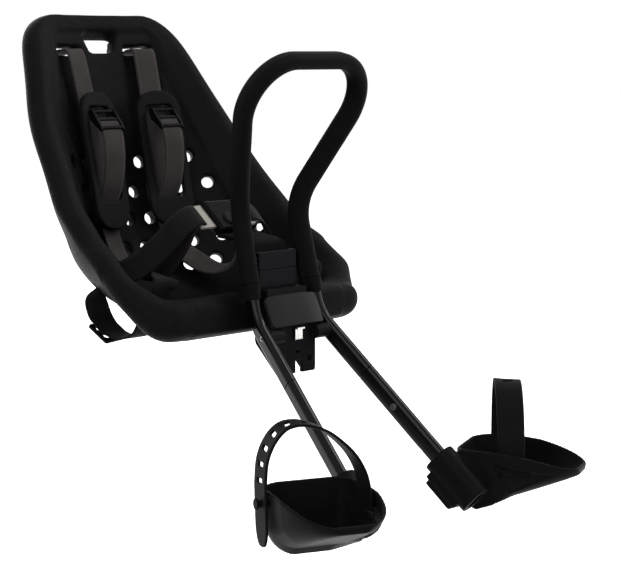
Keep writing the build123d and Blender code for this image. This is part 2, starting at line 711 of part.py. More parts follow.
def latch_catch():
    """Sprung steel catch: a bent pull plate with a pin that reaches into the socket."""
    plate_y = BLOCK_FRONT_Y - CATCH_GAP - CATCH_PLATE / 2
    plate = Pos(CATCH_X, plate_y, CATCH_Z) * Box(CATCH_WIDTH, CATCH_PLATE, CATCH_HEIGHT)
    hook = Pos(CATCH_X, plate_y - CATCH_HOOK / 2, CATCH_Z + CATCH_HEIGHT / 2 - CATCH_PLATE / 2)
    plate += hook * Box(CATCH_WIDTH, CATCH_HOOK, CATCH_PLATE)
    length = CATCH_PIN_END_Y - plate_y
    pin = Pos(CATCH_X, plate_y + length / 2, CATCH_Z) * Rot(90, 0, 0) * Cylinder(CATCH_PIN_DIAMETER / 2, length)
    return plate + pin


def frame_bolts():
    """Socket set screws through the tubes into the bosses of the block."""
    shank = Pos(0, 0, FRAME_BOLT_END_X - FRAME_BOLT_REACH / 2) * Cylinder(FRAME_BOLT_DIAMETER / 2, FRAME_BOLT_REACH)
    socket = extrude(RegularPolygon(FRAME_BOLT_SOCKET / 2, 6), -FRAME_BOLT_SOCKET)
    bolt = frame_bolt_axis() * (shank - Pos(0, 0, FRAME_BOLT_END_X) * socket)
    return [bolt, mirrored(bolt)]


def anchor_box(low, high):
    """Rounded housing slice of the strap anchor."""
    box = Box(2 * ANCHOR_HALF, ANCHOR_BACK_Y - ANCHOR_FRONT_Y, high - low)
    box = Pos(0, (ANCHOR_FRONT_Y + ANCHOR_BACK_Y) / 2, (low + high) / 2) * box
    return fillet(box.edges().filter_by(Axis.Z), ANCHOR_EDGE)


def strap_anchor():
    """Lower half of the strap anchor, bolted to the top of the block."""
    body = anchor_box(BLOCK_TOP_Z + SEATED, ANCHOR_SPLIT_Z - SEATED)
    return body - [clamp_bolt_way(side) for side in (-1, 1)]


def anchor_cap():
    """Upper half of the strap anchor with the slot for the crotch strap."""
    cap = anchor_box(ANCHOR_SPLIT_Z, ANCHOR_TOP_Z)
    slot = Box(2 * ANCHOR_SLOT_HALF, ANCHOR_SLOT_BACK_Y - ANCHOR_SLOT_FRONT_Y, ANCHOR_TOP_Z)
    cap -= Pos(0, (ANCHOR_SLOT_FRONT_Y + ANCHOR_SLOT_BACK_Y) / 2, ANCHOR_SLOT_FLOOR_Z + ANCHOR_TOP_Z / 2) * slot
    pin_way = Rot(0, 90, 0) * Cylinder(ANCHOR_PIN_DIAMETER / 2 + RUNNING, 2 * ANCHOR_HALF)
    cap -= Pos(0, ANCHOR_PIN_Y, ANCHOR_PIN_Z) * pin_way
    for side in (-1, 1):
        cap -= clamp_bolt_way(side)
        cap -= clamp_bolt_place(side) * Cylinder(CLAMP_BOLT_HEAD / 2 + SEATED, CLAMP_BOLT_HEAD_HEIGHT * 2)
    return cap


def clamp_bolt_place(side):
    """Top centre of a clamp bolt of the strap anchor."""
    return Pos(side * CLAMP_BOLT_X, CLAMP_BOLT_Y, ANCHOR_TOP_Z)


def clamp_bolt_length():
    """Length of a clamp bolt under its head, down through the flange of the block."""
    return ANCHOR_TOP_Z - CLAMP_BOLT_HEAD_HEIGHT - BLOCK_TOP_Z + FLANGE_THICKNESS


def clamp_bolt_way(side):
    """Hole for a clamp bolt through the anchor halves and the flange."""
    reach = 2 * (CLAMP_BOLT_HEAD_HEIGHT + clamp_bolt_length() + SEATED)
    return clamp_bolt_place(side) * Cylinder(CLAMP_BOLT_DIAMETER / 2 + RUNNING, reach)


def clamp_bolts():
    """Socket head bolts that clamp the anchor halves."""
    length = clamp_bolt_length()
    pair = []
    for side in (-1, 1):
        head = Pos(0, 0, -CLAMP_BOLT_HEAD_HEIGHT / 2) * Cylinder(CLAMP_BOLT_HEAD / 2, CLAMP_BOLT_HEAD_HEIGHT)
        shank = Pos(0, 0, -CLAMP_BOLT_HEAD_HEIGHT - length / 2) * Cylinder(CLAMP_BOLT_DIAMETER / 2, length)
        socket = extrude(RegularPolygon(CLAMP_BOLT_DIAMETER / 2, 6), -CLAMP_BOLT_HEAD_HEIGHT / 2)
        pair.append(clamp_bolt_place(side) * (head + shank - socket))
    return pair


def anchor_pin():
    """Cross pin that holds the crotch strap."""
    length = 2 * ANCHOR_HALF - 1.0
    return Pos(0, ANCHOR_PIN_Y, ANCHOR_PIN_Z) * Rot(0, 90, 0) * Cylinder(ANCHOR_PIN_DIAMETER / 2, length)


def foot_plane():
    """Plane of the footrest: X outward, Y to the heel, origin under the heel at sole level."""
    side = Vector(0, 0, 1).cross(toe_direction())
    side = side if side.X > 0 else -side
    return Plane(origin=(FOOT_HEEL_X, FOOT_HEEL_Y, 0), x_dir=side, z_dir=(0, 0, 1))


def foot_outline(inset):
    """Plan outline of the footrest cup, drawn in from the wall."""
    half = FOOT_HALF - inset
    toe = FOOT_TOE_HALF - inset
    heel = -inset
    tip = -FOOT_LENGTH + inset
    face = make_face(Polyline((-half, heel), (half, heel), (half, -FOOT_RIM_TURN), (toe, tip), (-toe, tip),
                              (-half, -FOOT_RIM_TURN), close=True))
    heels = face.vertices().group_by(Axis.Y)[-1]
    face = fillet(heels, FOOT_HEEL_ROUND - inset)
    toes = face.vertices().group_by(Axis.Y)[0]
    return fillet(toes, FOOT_TOE_ROUND - inset)


def foot_prism(inset):
    """Tapered prism of the cup from above its rim to below its sole."""
    low = Pos(0, 0, FOOT_SOLE_Z) * foot_outline(inset + FOOT_DRAFT)
    high = Pos(0, 0, FOOT_RIM_Z) * foot_outline(inset)
    return loft([low, high])


def foot_sole_z(t):
    """Height of the underside of the sole at a distance from the heel."""
    return FOOT_SOLE_Z + max(0.0, t - FOOT_SOLE_TURN) * tan(radians(FOOT_SOLE_RISE))


def foot_cup():
    """Dustpan shaped cup of the footrest in its own plane."""
    rim = Polyline((0, FOOT_RIM_Z), (-FOOT_RIM_TURN, FOOT_RIM_Z), (-FOOT_LENGTH, FOOT_TOE_RIM_Z),
                   (-FOOT_LENGTH, foot_sole_z(FOOT_LENGTH)), (-FOOT_SOLE_TURN, FOOT_SOLE_Z),
                   (0, FOOT_SOLE_Z + FOOT_HEEL_LIFT), close=True)
    outer = extrude(Plane.YZ * make_face(rim), FOOT_HALF, both=True) & foot_prism(0)
    room = Polyline((0, 0), (-FOOT_LENGTH, 0), (-FOOT_LENGTH, foot_sole_z(FOOT_LENGTH) + FOOT_WALL),
                    (-FOOT_SOLE_TURN, FOOT_SOLE_Z + FOOT_WALL), (0, FOOT_SOLE_Z + FOOT_HEEL_LIFT + FOOT_WALL),
                    close=True)
    inner = extrude(Plane.YZ * make_face(room), FOOT_HALF, both=True) & foot_prism(FOOT_WALL)
    bar = Pos(0, -TOE_BAR_T, foot_sole_z(TOE_BAR_T) + FOOT_WALL) * Rot(-FOOT_SOLE_RISE, 0, 0)
    bar *= Box(TOE_BAR_LENGTH, TOE_BAR_WIDTH, 2 * TOE_BAR_HEIGHT)
    return outer - inner + (bar & outer)


def footrest():
    """Footrest cup with a sleeve that slides on the leg."""
    down = leg_direction()
    depth = leg_depth()
    start = frame_points()[5]
    sleeve = extrude(oval(start, down, depth, FOOT_BOSS_DEPTH, FOOT_BOSS_WIDTH), FOOT_BOSS_LENGTH)
    cup = foot_plane() * foot_cup()
    bore = extrude(oval(start - down, down, depth, TUBE_DEPTH + 2 * SLIDING, TUBE_WIDTH + 2 * SLIDING), FOOT_BOSS_LENGTH * 2)
    body = cup + sleeve - bore
    pin_way = Pos(0, 0, FOOT_BOSS_DEPTH / 2) * Cylinder(TAB_PIN_DIAMETER / 2 + RUNNING, FOOT_BOSS_DEPTH)
    stud_way = Pos(0, 0, STUD_LENGTH / 2) * Cylinder(STUD_DIAMETER / 2 + RUNNING, STUD_LENGTH)
    return body - tab_place() * pin_way - stud_place() * stud_way


def tab_place():
    """Place of the release pin behind the sleeve, its axis pointing away from the leg."""
    behind = -leg_depth()
    centre = frame_points()[5] + leg_direction() * (TAB_START + TAB_LENGTH / 2)
    return Plane(origin=centre, x_dir=leg_direction(), z_dir=behind).location


def tab_pin_tip():
    """Distance of the tip of the release pin from the middle of the leg."""
    return TUBE_DEPTH / 2 - TAB_PIN_ENTRY


def footrest_latch():
    """Sprung release tab with a pin that runs in the track of the leg."""
    seat = FOOT_BOSS_DEPTH / 2 + TAB_GAP
    tab = Pos(0, 0, seat + TAB_THICKNESS / 2) * Box(TAB_LENGTH, TAB_WIDTH, TAB_THICKNESS)
    tab = fillet(tab.edges().filter_by(Axis.Z), TAB_CORNER)
    pin_length = seat - tab_pin_tip()
    tab += Pos(0, 0, seat - pin_length / 2) * Cylinder(TAB_PIN_DIAMETER / 2, pin_length)
    return tab_place() * tab


def foot_strap_points():
    """Path of the foot strap over the instep, from the inner wall to the tail outside."""
    plane = foot_plane()
    root = Vector(-FOOT_HALF + FOOT_WALL + FOOT_DRAFT / 2 + FOOT_STRAP_THICKNESS, -STRAP_ROOT_T)
    hook = Vector(FOOT_HALF + FOOT_STRAP_THICKNESS, -STRAP_HOOK_T)
    path = [(0.0, 0.0), (0.015, 18.0), (0.06, 36.0), (0.17, 53.0), (0.35, 68.0), (0.5, 75.0), (0.66, 77.5),
            (0.8, 74.0), (0.91, 63.0), (0.98, 47.0), (1.0, 28.0), (1.0, 14.0), (0.985, -30.0)]
    return [plane.from_local_coords(root + (hook - root) * share + Vector(0, 0, STRAP_ROOT_Z + rise))
            for share, rise in path]


def foot_strap():
    """Rubber instep strap with a hole for the stud."""
    points = foot_strap_points()
    band = ribbon(points, [toe_direction()] * len(points), FOOT_STRAP_WIDTH, FOOT_STRAP_THICKNESS)
    return band - stud_place() * Cylinder(STUD_DIAMETER / 2 + SEATED, 4 * STUD_LENGTH)


def stud_place():
    """Axis of the strap stud, pointing out of the outer wall of the cup."""
    return foot_plane() * Pos(FOOT_HALF - STUD_SINK, -STRAP_HOOK_T, STUD_Z) * Rot(0, 90, 0)


def foot_stud():
    """Hook stud on the outer wall of the cup that takes the strap."""
    stem = Pos(0, 0, STUD_LENGTH / 2) * Cylinder(STUD_DIAMETER / 2, STUD_LENGTH)
    head = Pos(0, 0, STUD_LENGTH + STUD_HEAD_HEIGHT / 2) * Cylinder(STUD_HEAD_DIAMETER / 2, STUD_HEAD_HEIGHT)
    return stud_place() * (stem + head)


def crotch_strap():
    """Wide crotch strap from the anchor slot to the buckle."""
    start = ANCHOR_PIN_Y + ANCHOR_PIN_DIAMETER / 2 + CROTCH_THICKNESS / 2 + SEATED
    points = ranked([(0, start, 100), (0, start, 109), (0, 31, 116), (0, 52, 120.5), (0, 74.2, 122)])
    return ribbon(points, [Vector(1, 0, 0)] * len(points), CROTCH_WIDTH, CROTCH_THICKNESS)


def buckle_plane():
    """Middle plane of the buckle: local Y runs up and back, the normal faces forward and up."""
    rise = radians(BUCKLE_RISE)
    return Plane(origin=(0, BUCKLE_Y, BUCKLE_Z), x_dir=(1, 0, 0), z_dir=(0, -sin(rise), cos(rise)))


def tongue_plate(grow=0.0):
    """Flat buckle tongue of the child's left, in the buckle plane."""
    start = BUCKLE_WIDTH / 2 - TONGUE_INSERT
    face = Pos(start + TONGUE_LENGTH / 2, TONGUE_SHIFT) * Rectangle(TONGUE_LENGTH + 2 * grow, TONGUE_WIDTH + 2 * grow)
    plate = extrude(face, TONGUE_THICKNESS / 2 + grow, both=True)
    if grow:
        return plate
    plate = fillet(plate.edges().filter_by(Axis.Z), TONGUE_CORNER)
    slot = Rot(0, 0, 90) * SlotOverall(TONGUE_WIDTH - TONGUE_SLOT, TONGUE_SLOT)
    return plate - extrude(Pos(start + TONGUE_LENGTH - TONGUE_SLOT, TONGUE_SHIFT) * slot, TONGUE_LENGTH, both=True)


def buckle_tongue():
    """Buckle tongue in place."""
    return buckle_plane() * tongue_plate()


def buckle_body():
    """Buckle housing with pockets for the tongues and the button."""
    body = Box(BUCKLE_WIDTH, BUCKLE_LENGTH, BUCKLE_THICKNESS)
    body = fillet(body.edges(), BUCKLE_ROUND)
    pocket = tongue_plate(SEATED)
    well = BUTTON_HEIGHT - BUTTON_PROUD + BUTTON_STROKE
    button = Pos(0, -BUTTON_SHIFT, BUCKLE_THICKNESS / 2 - well / 2) * Cylinder(BUTTON_DIAMETER / 2 + RUNNING, well)
    return buckle_plane() * (body - [pocket, mirror(pocket, about=Plane.YZ), button])


def buckle_button():
    """Round release button of the buckle."""
    middle = BUCKLE_THICKNESS / 2 + BUTTON_PROUD - BUTTON_HEIGHT / 2
    button = Pos(0, -BUTTON_SHIFT, middle) * Cylinder(BUTTON_DIAMETER / 2, BUTTON_HEIGHT)
    return buckle_plane() * chamfer(button.edges().group_by(Axis.Z)[-1], BUTTON_CHAMFER)


def strap_slider():
    """Loose two-slot slider under the lap strap loop."""
    before, middle, after = LAP_POINTS[LAP_LOWEST - 1:LAP_LOWEST + 2]
    along = (after - before).normalized()
    across = Vector(1, 0, 0) - along * along.X
    below = across.cross(along)
    below = below if below.Z < 0 else -below
    offset = (WEBBING_THICKNESS + SLIDER_THICKNESS) / 2 + SEATED
    plane = Plane(origin=middle + below.normalized() * offset, x_dir=across, z_dir=below)
    return plane * ladder(SLIDER_LENGTH, SLIDER_WIDTH, SLIDER_THICKNESS, SLIDER_SLOT, SLIDER_SLOT_PITCH,
                          WEBBING_WIDTH)


def shoulder_strap():
    """Shoulder webbing from the back slot to the buckle tongue."""
    return ribbon(SHOULDER_POINTS, SHOULDER_ACROSS, WEBBING_WIDTH, WEBBING_THICKNESS)


def lap_strap():
    """Lap webbing from the buckle tongue out through the hip slot and back below the pan."""
    return ribbon(LAP_POINTS, LAP_ACROSS, WEBBING_WIDTH, WEBBING_THICKNESS)


def pad_plane():
    """Front plane of a shoulder pad: local Y runs up the pad."""
    up = -Vector(0, PAD_LEAN_Y, PAD_LEAN_Z).normalized()
    front = Vector(0, -up.Z, up.Y).rotate(Axis((0, 0, 0), up), PAD_TILT)
    front = front if front.X < 0 else Vector(-front.X, front.Y, front.Z)
    return Plane(origin=(PAD_X, PAD_Y, PAD_Z), x_dir=up.cross(front), z_dir=front)


def shoulder_pad():
    """Padded sleeve of the shoulder strap with its long window."""
    face = RectangleRounded(PAD_WIDTH, PAD_LENGTH, PAD_CORNER)
    face -= Pos(0, PAD_WINDOW_SHIFT) * RectangleRounded(PAD_WINDOW_WIDTH, PAD_WINDOW_LENGTH, PAD_WINDOW_CORNER)
    return pad_plane() * extrude(face, -PAD_THICKNESS)


def ladder(length, width, thickness, slot, pitch, slot_length):
    """Flat two-slot strap lock."""
    face = RectangleRounded(width, length, 3.0)
    for side in (-1, 1):
        face -= Pos(0, side * pitch / 2) * SlotOverall(slot_length, slot)
    return extrude(face, thickness / 2, both=True)


def strap_adjuster():
    """Ladder lock standing out of the pad window."""
    top = Vector(PAD_X, ADJUSTER_TOP_Y, ADJUSTER_TOP_Z)
    foot = Vector(PAD_X, ADJUSTER_FOOT_Y, ADJUSTER_FOOT_Z)
    up = (top - foot).normalized()
    plane = Plane(origin=(top + foot) * 0.5, x_dir=(1, 0, 0), z_dir=Vector(1, 0, 0).cross(up))
    return plane * ladder((top - foot).length, ADJUSTER_WIDTH, ADJUSTER_THICKNESS, ADJUSTER_SLOT,
                          ADJUSTER_SLOT_PITCH, WEBBING_WIDTH)


def main():
    """Build every piece and write one file for each."""
    os.makedirs("parts", exist_ok=True)
    single = {
        "seat_shell": seat_shell(), "shell_insert": shell_insert(), "frame_tube": frame_tube(),
        "handle_grip": handle_grip(), "bridge_plate": bridge_plate(), "mounting_block": mounting_block(),
        "latch_catch": latch_catch(), "strap_anchor": strap_anchor(), "anchor_cap": anchor_cap(),
        "anchor_pin": anchor_pin(), "crotch_strap": crotch_strap(), "buckle_body": buckle_body(),
        "buckle_button": buckle_button(),
    }
    groups = {"shell_bolts": shell_bolts(), "frame_bolts": frame_bolts(), "clamp_bolts": clamp_bolts()}
    paired = {
        "collar": collar(), "lower_leg": lower_leg(), "leg_screw": leg_screw(), "footrest": footrest(),
        "footrest_latch": footrest_latch(), "foot_strap": foot_strap(), "shoulder_strap": shoulder_strap(),
        "lap_strap": lap_strap(), "shoulder_pad": shoulder_pad(), "strap_adjuster": strap_adjuster(),
        "foot_stud": foot_stud(), "buckle_tongue": buckle_tongue(), "strap_slider": strap_slider(),
    }
    for name, shapes in groups.items():
        single[name] = Compound(children=shapes)
    for name, shape in paired.items():
        single[name + "_left"] = shape
        single[name + "_right"] = mirrored(shape)
    for name, shape in single.items():
        print(name, shape.is_valid, len(shape.solids()), round(shape.volume))
        export_step(shape, f"parts/{name}.step")


main()
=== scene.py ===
"""Looks of a front-mounted child bicycle seat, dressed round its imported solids.

Metres, +Z up. The seat faces -Y and the child's left is +X. Pieces that the solids show well are
copied with softened edges. Foam, pads and foot cups get a moulded skin. Webbing, strap locks and rubber
straps are modelled anew in their places.
"""
import json
import logging
from bisect import bisect_left
from dataclasses import dataclass, field
from enum import Enum
from functools import cache
from math import atan2, cos, hypot, pi, radians, sin
from typing import Union

import bmesh
import bpy
from mathutils import Matrix, Vector

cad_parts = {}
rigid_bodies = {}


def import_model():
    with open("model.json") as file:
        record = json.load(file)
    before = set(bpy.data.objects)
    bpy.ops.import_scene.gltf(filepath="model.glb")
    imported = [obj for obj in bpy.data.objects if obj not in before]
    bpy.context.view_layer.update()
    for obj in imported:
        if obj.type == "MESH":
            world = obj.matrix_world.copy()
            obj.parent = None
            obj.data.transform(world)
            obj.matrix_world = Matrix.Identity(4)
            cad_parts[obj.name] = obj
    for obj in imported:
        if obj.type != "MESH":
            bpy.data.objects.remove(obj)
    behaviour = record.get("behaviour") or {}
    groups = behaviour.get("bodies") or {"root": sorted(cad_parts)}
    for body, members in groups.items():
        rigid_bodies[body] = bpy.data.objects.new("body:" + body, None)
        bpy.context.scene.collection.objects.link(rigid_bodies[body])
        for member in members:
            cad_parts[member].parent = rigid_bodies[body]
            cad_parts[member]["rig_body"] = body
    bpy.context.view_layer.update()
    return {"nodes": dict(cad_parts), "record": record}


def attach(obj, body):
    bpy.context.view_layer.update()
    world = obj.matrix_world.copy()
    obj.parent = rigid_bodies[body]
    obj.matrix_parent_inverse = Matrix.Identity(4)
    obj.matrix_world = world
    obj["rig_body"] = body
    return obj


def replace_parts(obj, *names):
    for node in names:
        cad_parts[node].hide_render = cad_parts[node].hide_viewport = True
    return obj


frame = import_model()
LOG = logging.getLogger("seat")

Colour = tuple[float, float, float]
Pair = tuple[float, float]
Triple = tuple[float, float, float]
Four = tuple[float, float, float, float]
Shape = bmesh.types.BMesh
Value = Union[float, "Term"]
SLOTS = {row["node"]: row["material_slot"] for row in frame["record"]["subparts"]}
MM = 0.001
# Angle between faces from which an edge is rounded off
SHARP = radians(34)
# Crease angles in degrees: of hard pieces, and of pieces that are smooth all over
CREASE = 40.0
SMOOTH = 180.0
WHITE: Four = (1.0, 1.0, 1.0, 1.0)


class Side(Enum):
    """The child's two sides and the sign of X on each."""

    LEFT = 1
    RIGHT = -1

    def node(self, name: str) -> str:
        """Name of a paired node on this side."""
        return f"{name}_{self.name.lower()}"

    def turned(self, vector: Vector) -> Vector:
        """A vector of the child's left, mirrored to this side."""
        return Vector((vector.x * self.value, vector.y, vector.z))


class Term:
    """A shader value that can stand in a sum or a product."""

    def __init__(self, graph: "Graph", socket: bpy.types.NodeSocket) -> None:
        """Wraps an output socket of a graph."""
        self.graph = graph
        self.socket = socket

    def _with(self, operation: str, first: Value, second: Value = 0.0) -> "Term":
        """Adds one Math node."""
        return self.graph.node("ShaderNodeMath", {"operation": operation}, {0: first, 1: second})

    def __add__(self, other: Value) -> "Term":
        """Sum."""
        return self._with("ADD", self, other)

    def __radd__(self, other: Value) -> "Term":
        """Sum with a number first."""
        return self._with("ADD", other, self)

    def __sub__(self, other: Value) -> "Term":
        """Difference."""
        return self._with("SUBTRACT", self, other)

    def __rsub__(self, other: Value) -> "Term":
        """Difference from a number."""
        return self._with("SUBTRACT", other, self)

    def __mul__(self, other: Value) -> "Term":
        """Product."""
        return self._with("MULTIPLY", self, other)

    def __rmul__(self, other: Value) -> "Term":
        """Product with a number first."""
        return self._with("MULTIPLY", other, self)

    def __gt__(self, other: Value) -> "Term":
        """One where this value is the larger, else zero."""
        return self._with("GREATER_THAN", self, other)

    def sine(self) -> "Term":
        """Sine of the value."""
        return self._with("SINE", self)

    def size(self) -> "Term":
        """The value without its sign."""
        return self._with("ABSOLUTE", self)


class Graph:
    """Node graph of one material or backdrop."""

    def __init__(self, owner: bpy.types.Material | bpy.types.World) -> None:
        """Starts an empty graph.

        Args:
            owner: The material or world that the graph belongs to.
        """
        owner.use_nodes = True
        self.owner = owner
        self.tree = owner.node_tree
        self.tree.nodes.clear()

    def node(self, kind: str, settings: dict | None = None, inputs: dict | None = None,
             output: int | str = 0) -> Term | None:
        """Adds any node.

        Args:
            kind: Type of the node.
            settings: Attributes that are set first.
            inputs: Numbers, colours or terms by socket.
            output: The socket to carry on with.

        Returns:
            The chosen output, or nothing for a node that ends a graph.
        """
        made = self.tree.nodes.new(kind)
        for key, value in (settings or {}).items():
            setattr(made, key, value)
        for key, value in (inputs or {}).items():
            if isinstance(value, Term):
                self.tree.links.new(value.socket, made.inputs[key])
            else:
                made.inputs[key].default_value = value
        return Term(self, made.outputs[output]) if made.outputs else None

    def noise(self, grain: float, detail: float = 3.0) -> Term:
        """Noise whose lumps have about the given size in metres."""
        place = self.node("ShaderNodeTexCoord", output="Object")
        return self.node("ShaderNodeTexNoise", {}, {"Vector": place, "Scale": 1.0 / grain, "Detail": detail})

    def cells(self, grain: float) -> Term:
        """Distance to the middle of the nearest cell of a skin."""
        place = self.node("ShaderNodeTexCoord", output="Object")
        return self.node("ShaderNodeTexVoronoi", {}, {"Vector": place, "Scale": 1.0 / grain}, "Distance")

    def mix(self, factor: Value, low: Colour, high: Colour) -> Term:
        """Blend of two colours."""
        inputs = {0: factor, 6: (*low, 1.0), 7: (*high, 1.0)}
        return self.node("ShaderNodeMix", {"data_type": "RGBA"}, inputs, 2)

    def bump(self, height: Term, depth: float) -> Term:
        """Normal of a surface with a fine relief of the given depth."""
        return self.node("ShaderNodeBump", {}, {"Height": height, "Distance": depth})

    def seen(self) -> Term:
        """One for rays that show the surroundings: from the camera, in gloss and through glass."""
        camera, glossy, through = (self.node("ShaderNodeLightPath", output=f"Is {kind} Ray")
                                   for kind in ("Camera", "Glossy", "Transmission"))
        return (camera + glossy + through) > 0.5

    def finish(self, shader: Term, kind: str = "ShaderNodeOutputMaterial") -> None:
        """Ends the graph in a shader."""
        self.node(kind, {}, {"Surface": shader})


def shade(colour: Colour, factor: float) -> Colour:
    """A colour made lighter or darker."""
    return tuple(min(1.0, part * factor) for part in colour)


@dataclass(frozen=True)
class Moulded:
    """Moulded skin: mottled tone, uneven gloss and a fine grain.

    Attributes:
        name: Name of the material.
        colour: Middle tone.
        roughness: Middle roughness.
        grain: Size of the grain in metres.
        relief: Depth of the grain in metres.
        mottle: Share by which the tone varies.
        metallic: Share of metal.
        specular: Level of the reflection.
        cloud: Size of the soft patches in the tone, in metres.
    """

    name: str
    colour: Colour
    roughness: float = 0.5
    grain: float = 0.8 * MM
    relief: float = 0.04 * MM
    mottle: float = 0.18
    metallic: float = 0.0
    specular: float = 0.025
    cloud: float = 35 * MM

    @cache
    def material(self) -> bpy.types.Material:
        """Makes the material once.

        Returns:
            The finished material.
        """
        graph = Graph(bpy.data.materials.new(self.name))
        cloud = graph.noise(self.cloud, 4.0)
        fine = graph.noise(self.grain, 2.0)
        low, high = shade(self.colour, 1 - self.mottle), shade(self.colour, 1 + self.mottle)
        tone = graph.mix(cloud * 0.6 + fine * 0.4, low, high)
        gloss = self.roughness + (cloud - 0.5) * 0.12 + (fine - 0.5) * 0.1
        pits = graph.cells(1.4 * self.grain)
        normal = graph.bump(fine * 0.5 + pits * 0.5, self.relief)
        sockets = {"Base Color": tone, "Roughness": gloss, "Normal": normal, "Metallic": self.metallic,
                   "Specular IOR Level": self.specular}
        graph.finish(graph.node("ShaderNodeBsdfPrincipled", {}, sockets))
        return graph.owner


@dataclass(frozen=True)
class Woven:
    """Woven webbing with stitched edges, on a UV map in metres.

    Attributes:
        name: Name of the material.
        colour: Middle tone of the yarn.
        width: Width of the webbing.
        rib: Pitch of the yarns along and across.
        stitch: Distance of the stitches from the edge.
        thread: Half the width of a stitch.
        fuzz: Size of the yarn's fuzz.
        wear: Size of the worn patches.
        relief: Depth of the weave.
    """

    name: str
    colour: Colour
    width: float
    rib: float = 1.5 * MM
    stitch: float = 2.2 * MM
    thread: float = 0.6 * MM
    fuzz: float = 0.5 * MM
    wear: float = 28 * MM
    relief: float = 0.3 * MM

    @cache
    def material(self) -> bpy.types.Material:
        """Makes the material once.

        Returns:
            The finished material.
        """
        graph = Graph(bpy.data.materials.new(self.name))
        place = graph.node("ShaderNodeTexCoord", output="UV")
        across = graph.node("ShaderNodeSeparateXYZ", {}, {0: place}, "X")
        along = graph.node("ShaderNodeSeparateXYZ", {}, {0: place}, "Y")
        turns = 2 * pi / self.rib
        yarn = (across * turns).sine() * (along * turns).sine() * 0.5 + 0.5
        fuzz = graph.noise(self.fuzz, 2.0)
        wear = graph.noise(self.wear, 3.0)
        line = 1.0 - ((across.size() - (0.5 * self.width - self.stitch)).size() > self.thread)
        thread = line * ((along * (0.45 * turns)).sine() > 0.0)
        weave = yarn * 0.5 + fuzz * 0.5 + (wear - 0.5) * 0.7
        tone = graph.mix(weave + thread * 1.6, shade(self.colour, 0.35), shade(self.colour, 1.65))
        normal = graph.bump(yarn * 0.6 + fuzz * 0.4 + thread * 0.5, self.relief)
        gloss = 0.58 + fuzz * 0.25 - thread * 0.1
        sockets = {"Base Color": tone, "Roughness": gloss, "Normal": normal, "Sheen Weight": 0.05,
                   "Specular IOR Level": 0.05}
        graph.finish(graph.node("ShaderNodeBsdfPrincipled", {}, sockets))
        return graph.owner


WEBBING_WIDTH = 26 * MM
FLAP_WIDTH = 46 * MM
YARN: Colour = (0.045, 0.039, 0.039)
# Lap strap webbing: the harness yarn darkened to 0.14 of its tone, painted shade for the strap that lies in
# shadow on the pan
SHADED_LAP_WEAVE = Woven("lap_webbing", shade(YARN, 0.14), WEBBING_WIDTH)
FLAP_COVER = Moulded("flap_cover", (0.006, 0.006, 0.0066), 0.6, 0.9 * MM, 0.06 * MM, specular=0.01)
SCREW_BLACK = Moulded("screw_black", (0.06, 0.06, 0.06), 0.3, 0.5 * MM, 0.01 * MM, metallic=1.0)
FINISHES: dict[str, Moulded | Woven] = {
    "shell_foam": Moulded("foam_skin", (0.0085, 0.0082, 0.0082), 0.48, 2.2 * MM, 0.6 * MM, 0.3),
    "grip_rubber": Moulded("grip_foam", (0.0065, 0.0064, 0.0066), 0.6, 0.6 * MM, 0.08 * MM),
    "frame_paint": Moulded("tube_paint", (0.003, 0.003, 0.0032), 0.16, 0.9 * MM, 0.004 * MM, specular=0.14),
    "leg_paint": Moulded("leg_paint", (0.003, 0.003, 0.0032), 0.16, 0.9 * MM, 0.004 * MM, specular=0.14),
    "plate_plastic": Moulded("plate_satin", (0.019, 0.0185, 0.0185), 0.4, 0.5 * MM, 0.02 * MM,
                             specular=0.05),
    "block_plastic": Moulded("block_satin", (0.0085, 0.0085, 0.009), 0.4, 0.6 * MM, 0.03 * MM),
    "anchor_plastic": Moulded("anchor_satin", (0.012, 0.012, 0.0145), 0.38, 0.6 * MM, 0.03 * MM),
    "footrest_plastic": Moulded("cup_grain", (0.0085, 0.0083, 0.0079), 0.42, 0.7 * MM, 0.05 * MM,
                                specular=0.02),
    "latch_plastic": Moulded("tab_grain", (0.008, 0.0078, 0.0075), 0.45, 0.7 * MM, 0.05 * MM),
    "strap_rubber": Moulded("strap_rubber", (0.0075, 0.0074, 0.0074), 0.48, 0.7 * MM, 0.04 * MM),
    "webbing": Woven("harness_webbing", YARN, WEBBING_WIDTH),
    "pad_rubber": Moulded("pad_rubber", (0.0098, 0.0095, 0.0097), 0.5, 0.6 * MM, 0.04 * MM),
    "buckle_plastic": Moulded("buckle_gloss", (0.004, 0.004, 0.0043), 0.22, 0.8 * MM, 0.01 * MM,
                              specular=0.04),
    "tongue_plastic": Moulded("tongue_pale", (0.44, 0.42, 0.385), 0.4, 0.7 * MM, 0.02 * MM, 0.08),
    "button_plastic": Moulded("button_grey", (0.016, 0.0155, 0.0155), 0.4, 0.7 * MM, 0.02 * MM),
    "steel": Moulded("zinc_steel", (0.42, 0.42, 0.43), 0.36, 0.4 * MM, 0.01 * MM, 0.1, metallic=1.0),
    "bright_steel": Moulded("bright_steel", (0.62, 0.61, 0.59), 0.26, 0.4 * MM, 0.01 * MM, 0.1,
                            metallic=1.0),
}


def add(name: str, data: bpy.types.ID | Shape) -> bpy.types.Object:
    """Adds an object to the scene.

    Args:
        name: Name of the object and of a new mesh.
        data: A lamp, a camera, or a shape that is used up.

    Returns:
        The object.
    """
    if isinstance(data, Shape):
        mesh = bpy.data.meshes.new(name)
        data.to_mesh(mesh)
        data.free()
        data = mesh
    made = bpy.data.objects.new(name, data)
    bpy.context.scene.collection.objects.link(made)
    return made


def solid_copy(node: str) -> Shape:
    """Merged copy of a solid's mesh.

    Args:
        node: Name of the solid.

    Returns:
        A new bmesh with shared corners.
    """
    copy = bmesh.new()
    copy.from_mesh(frame["nodes"][node].data)
    bmesh.ops.remove_doubles(copy, verts=copy.verts, dist=0.002 * MM)
    return copy


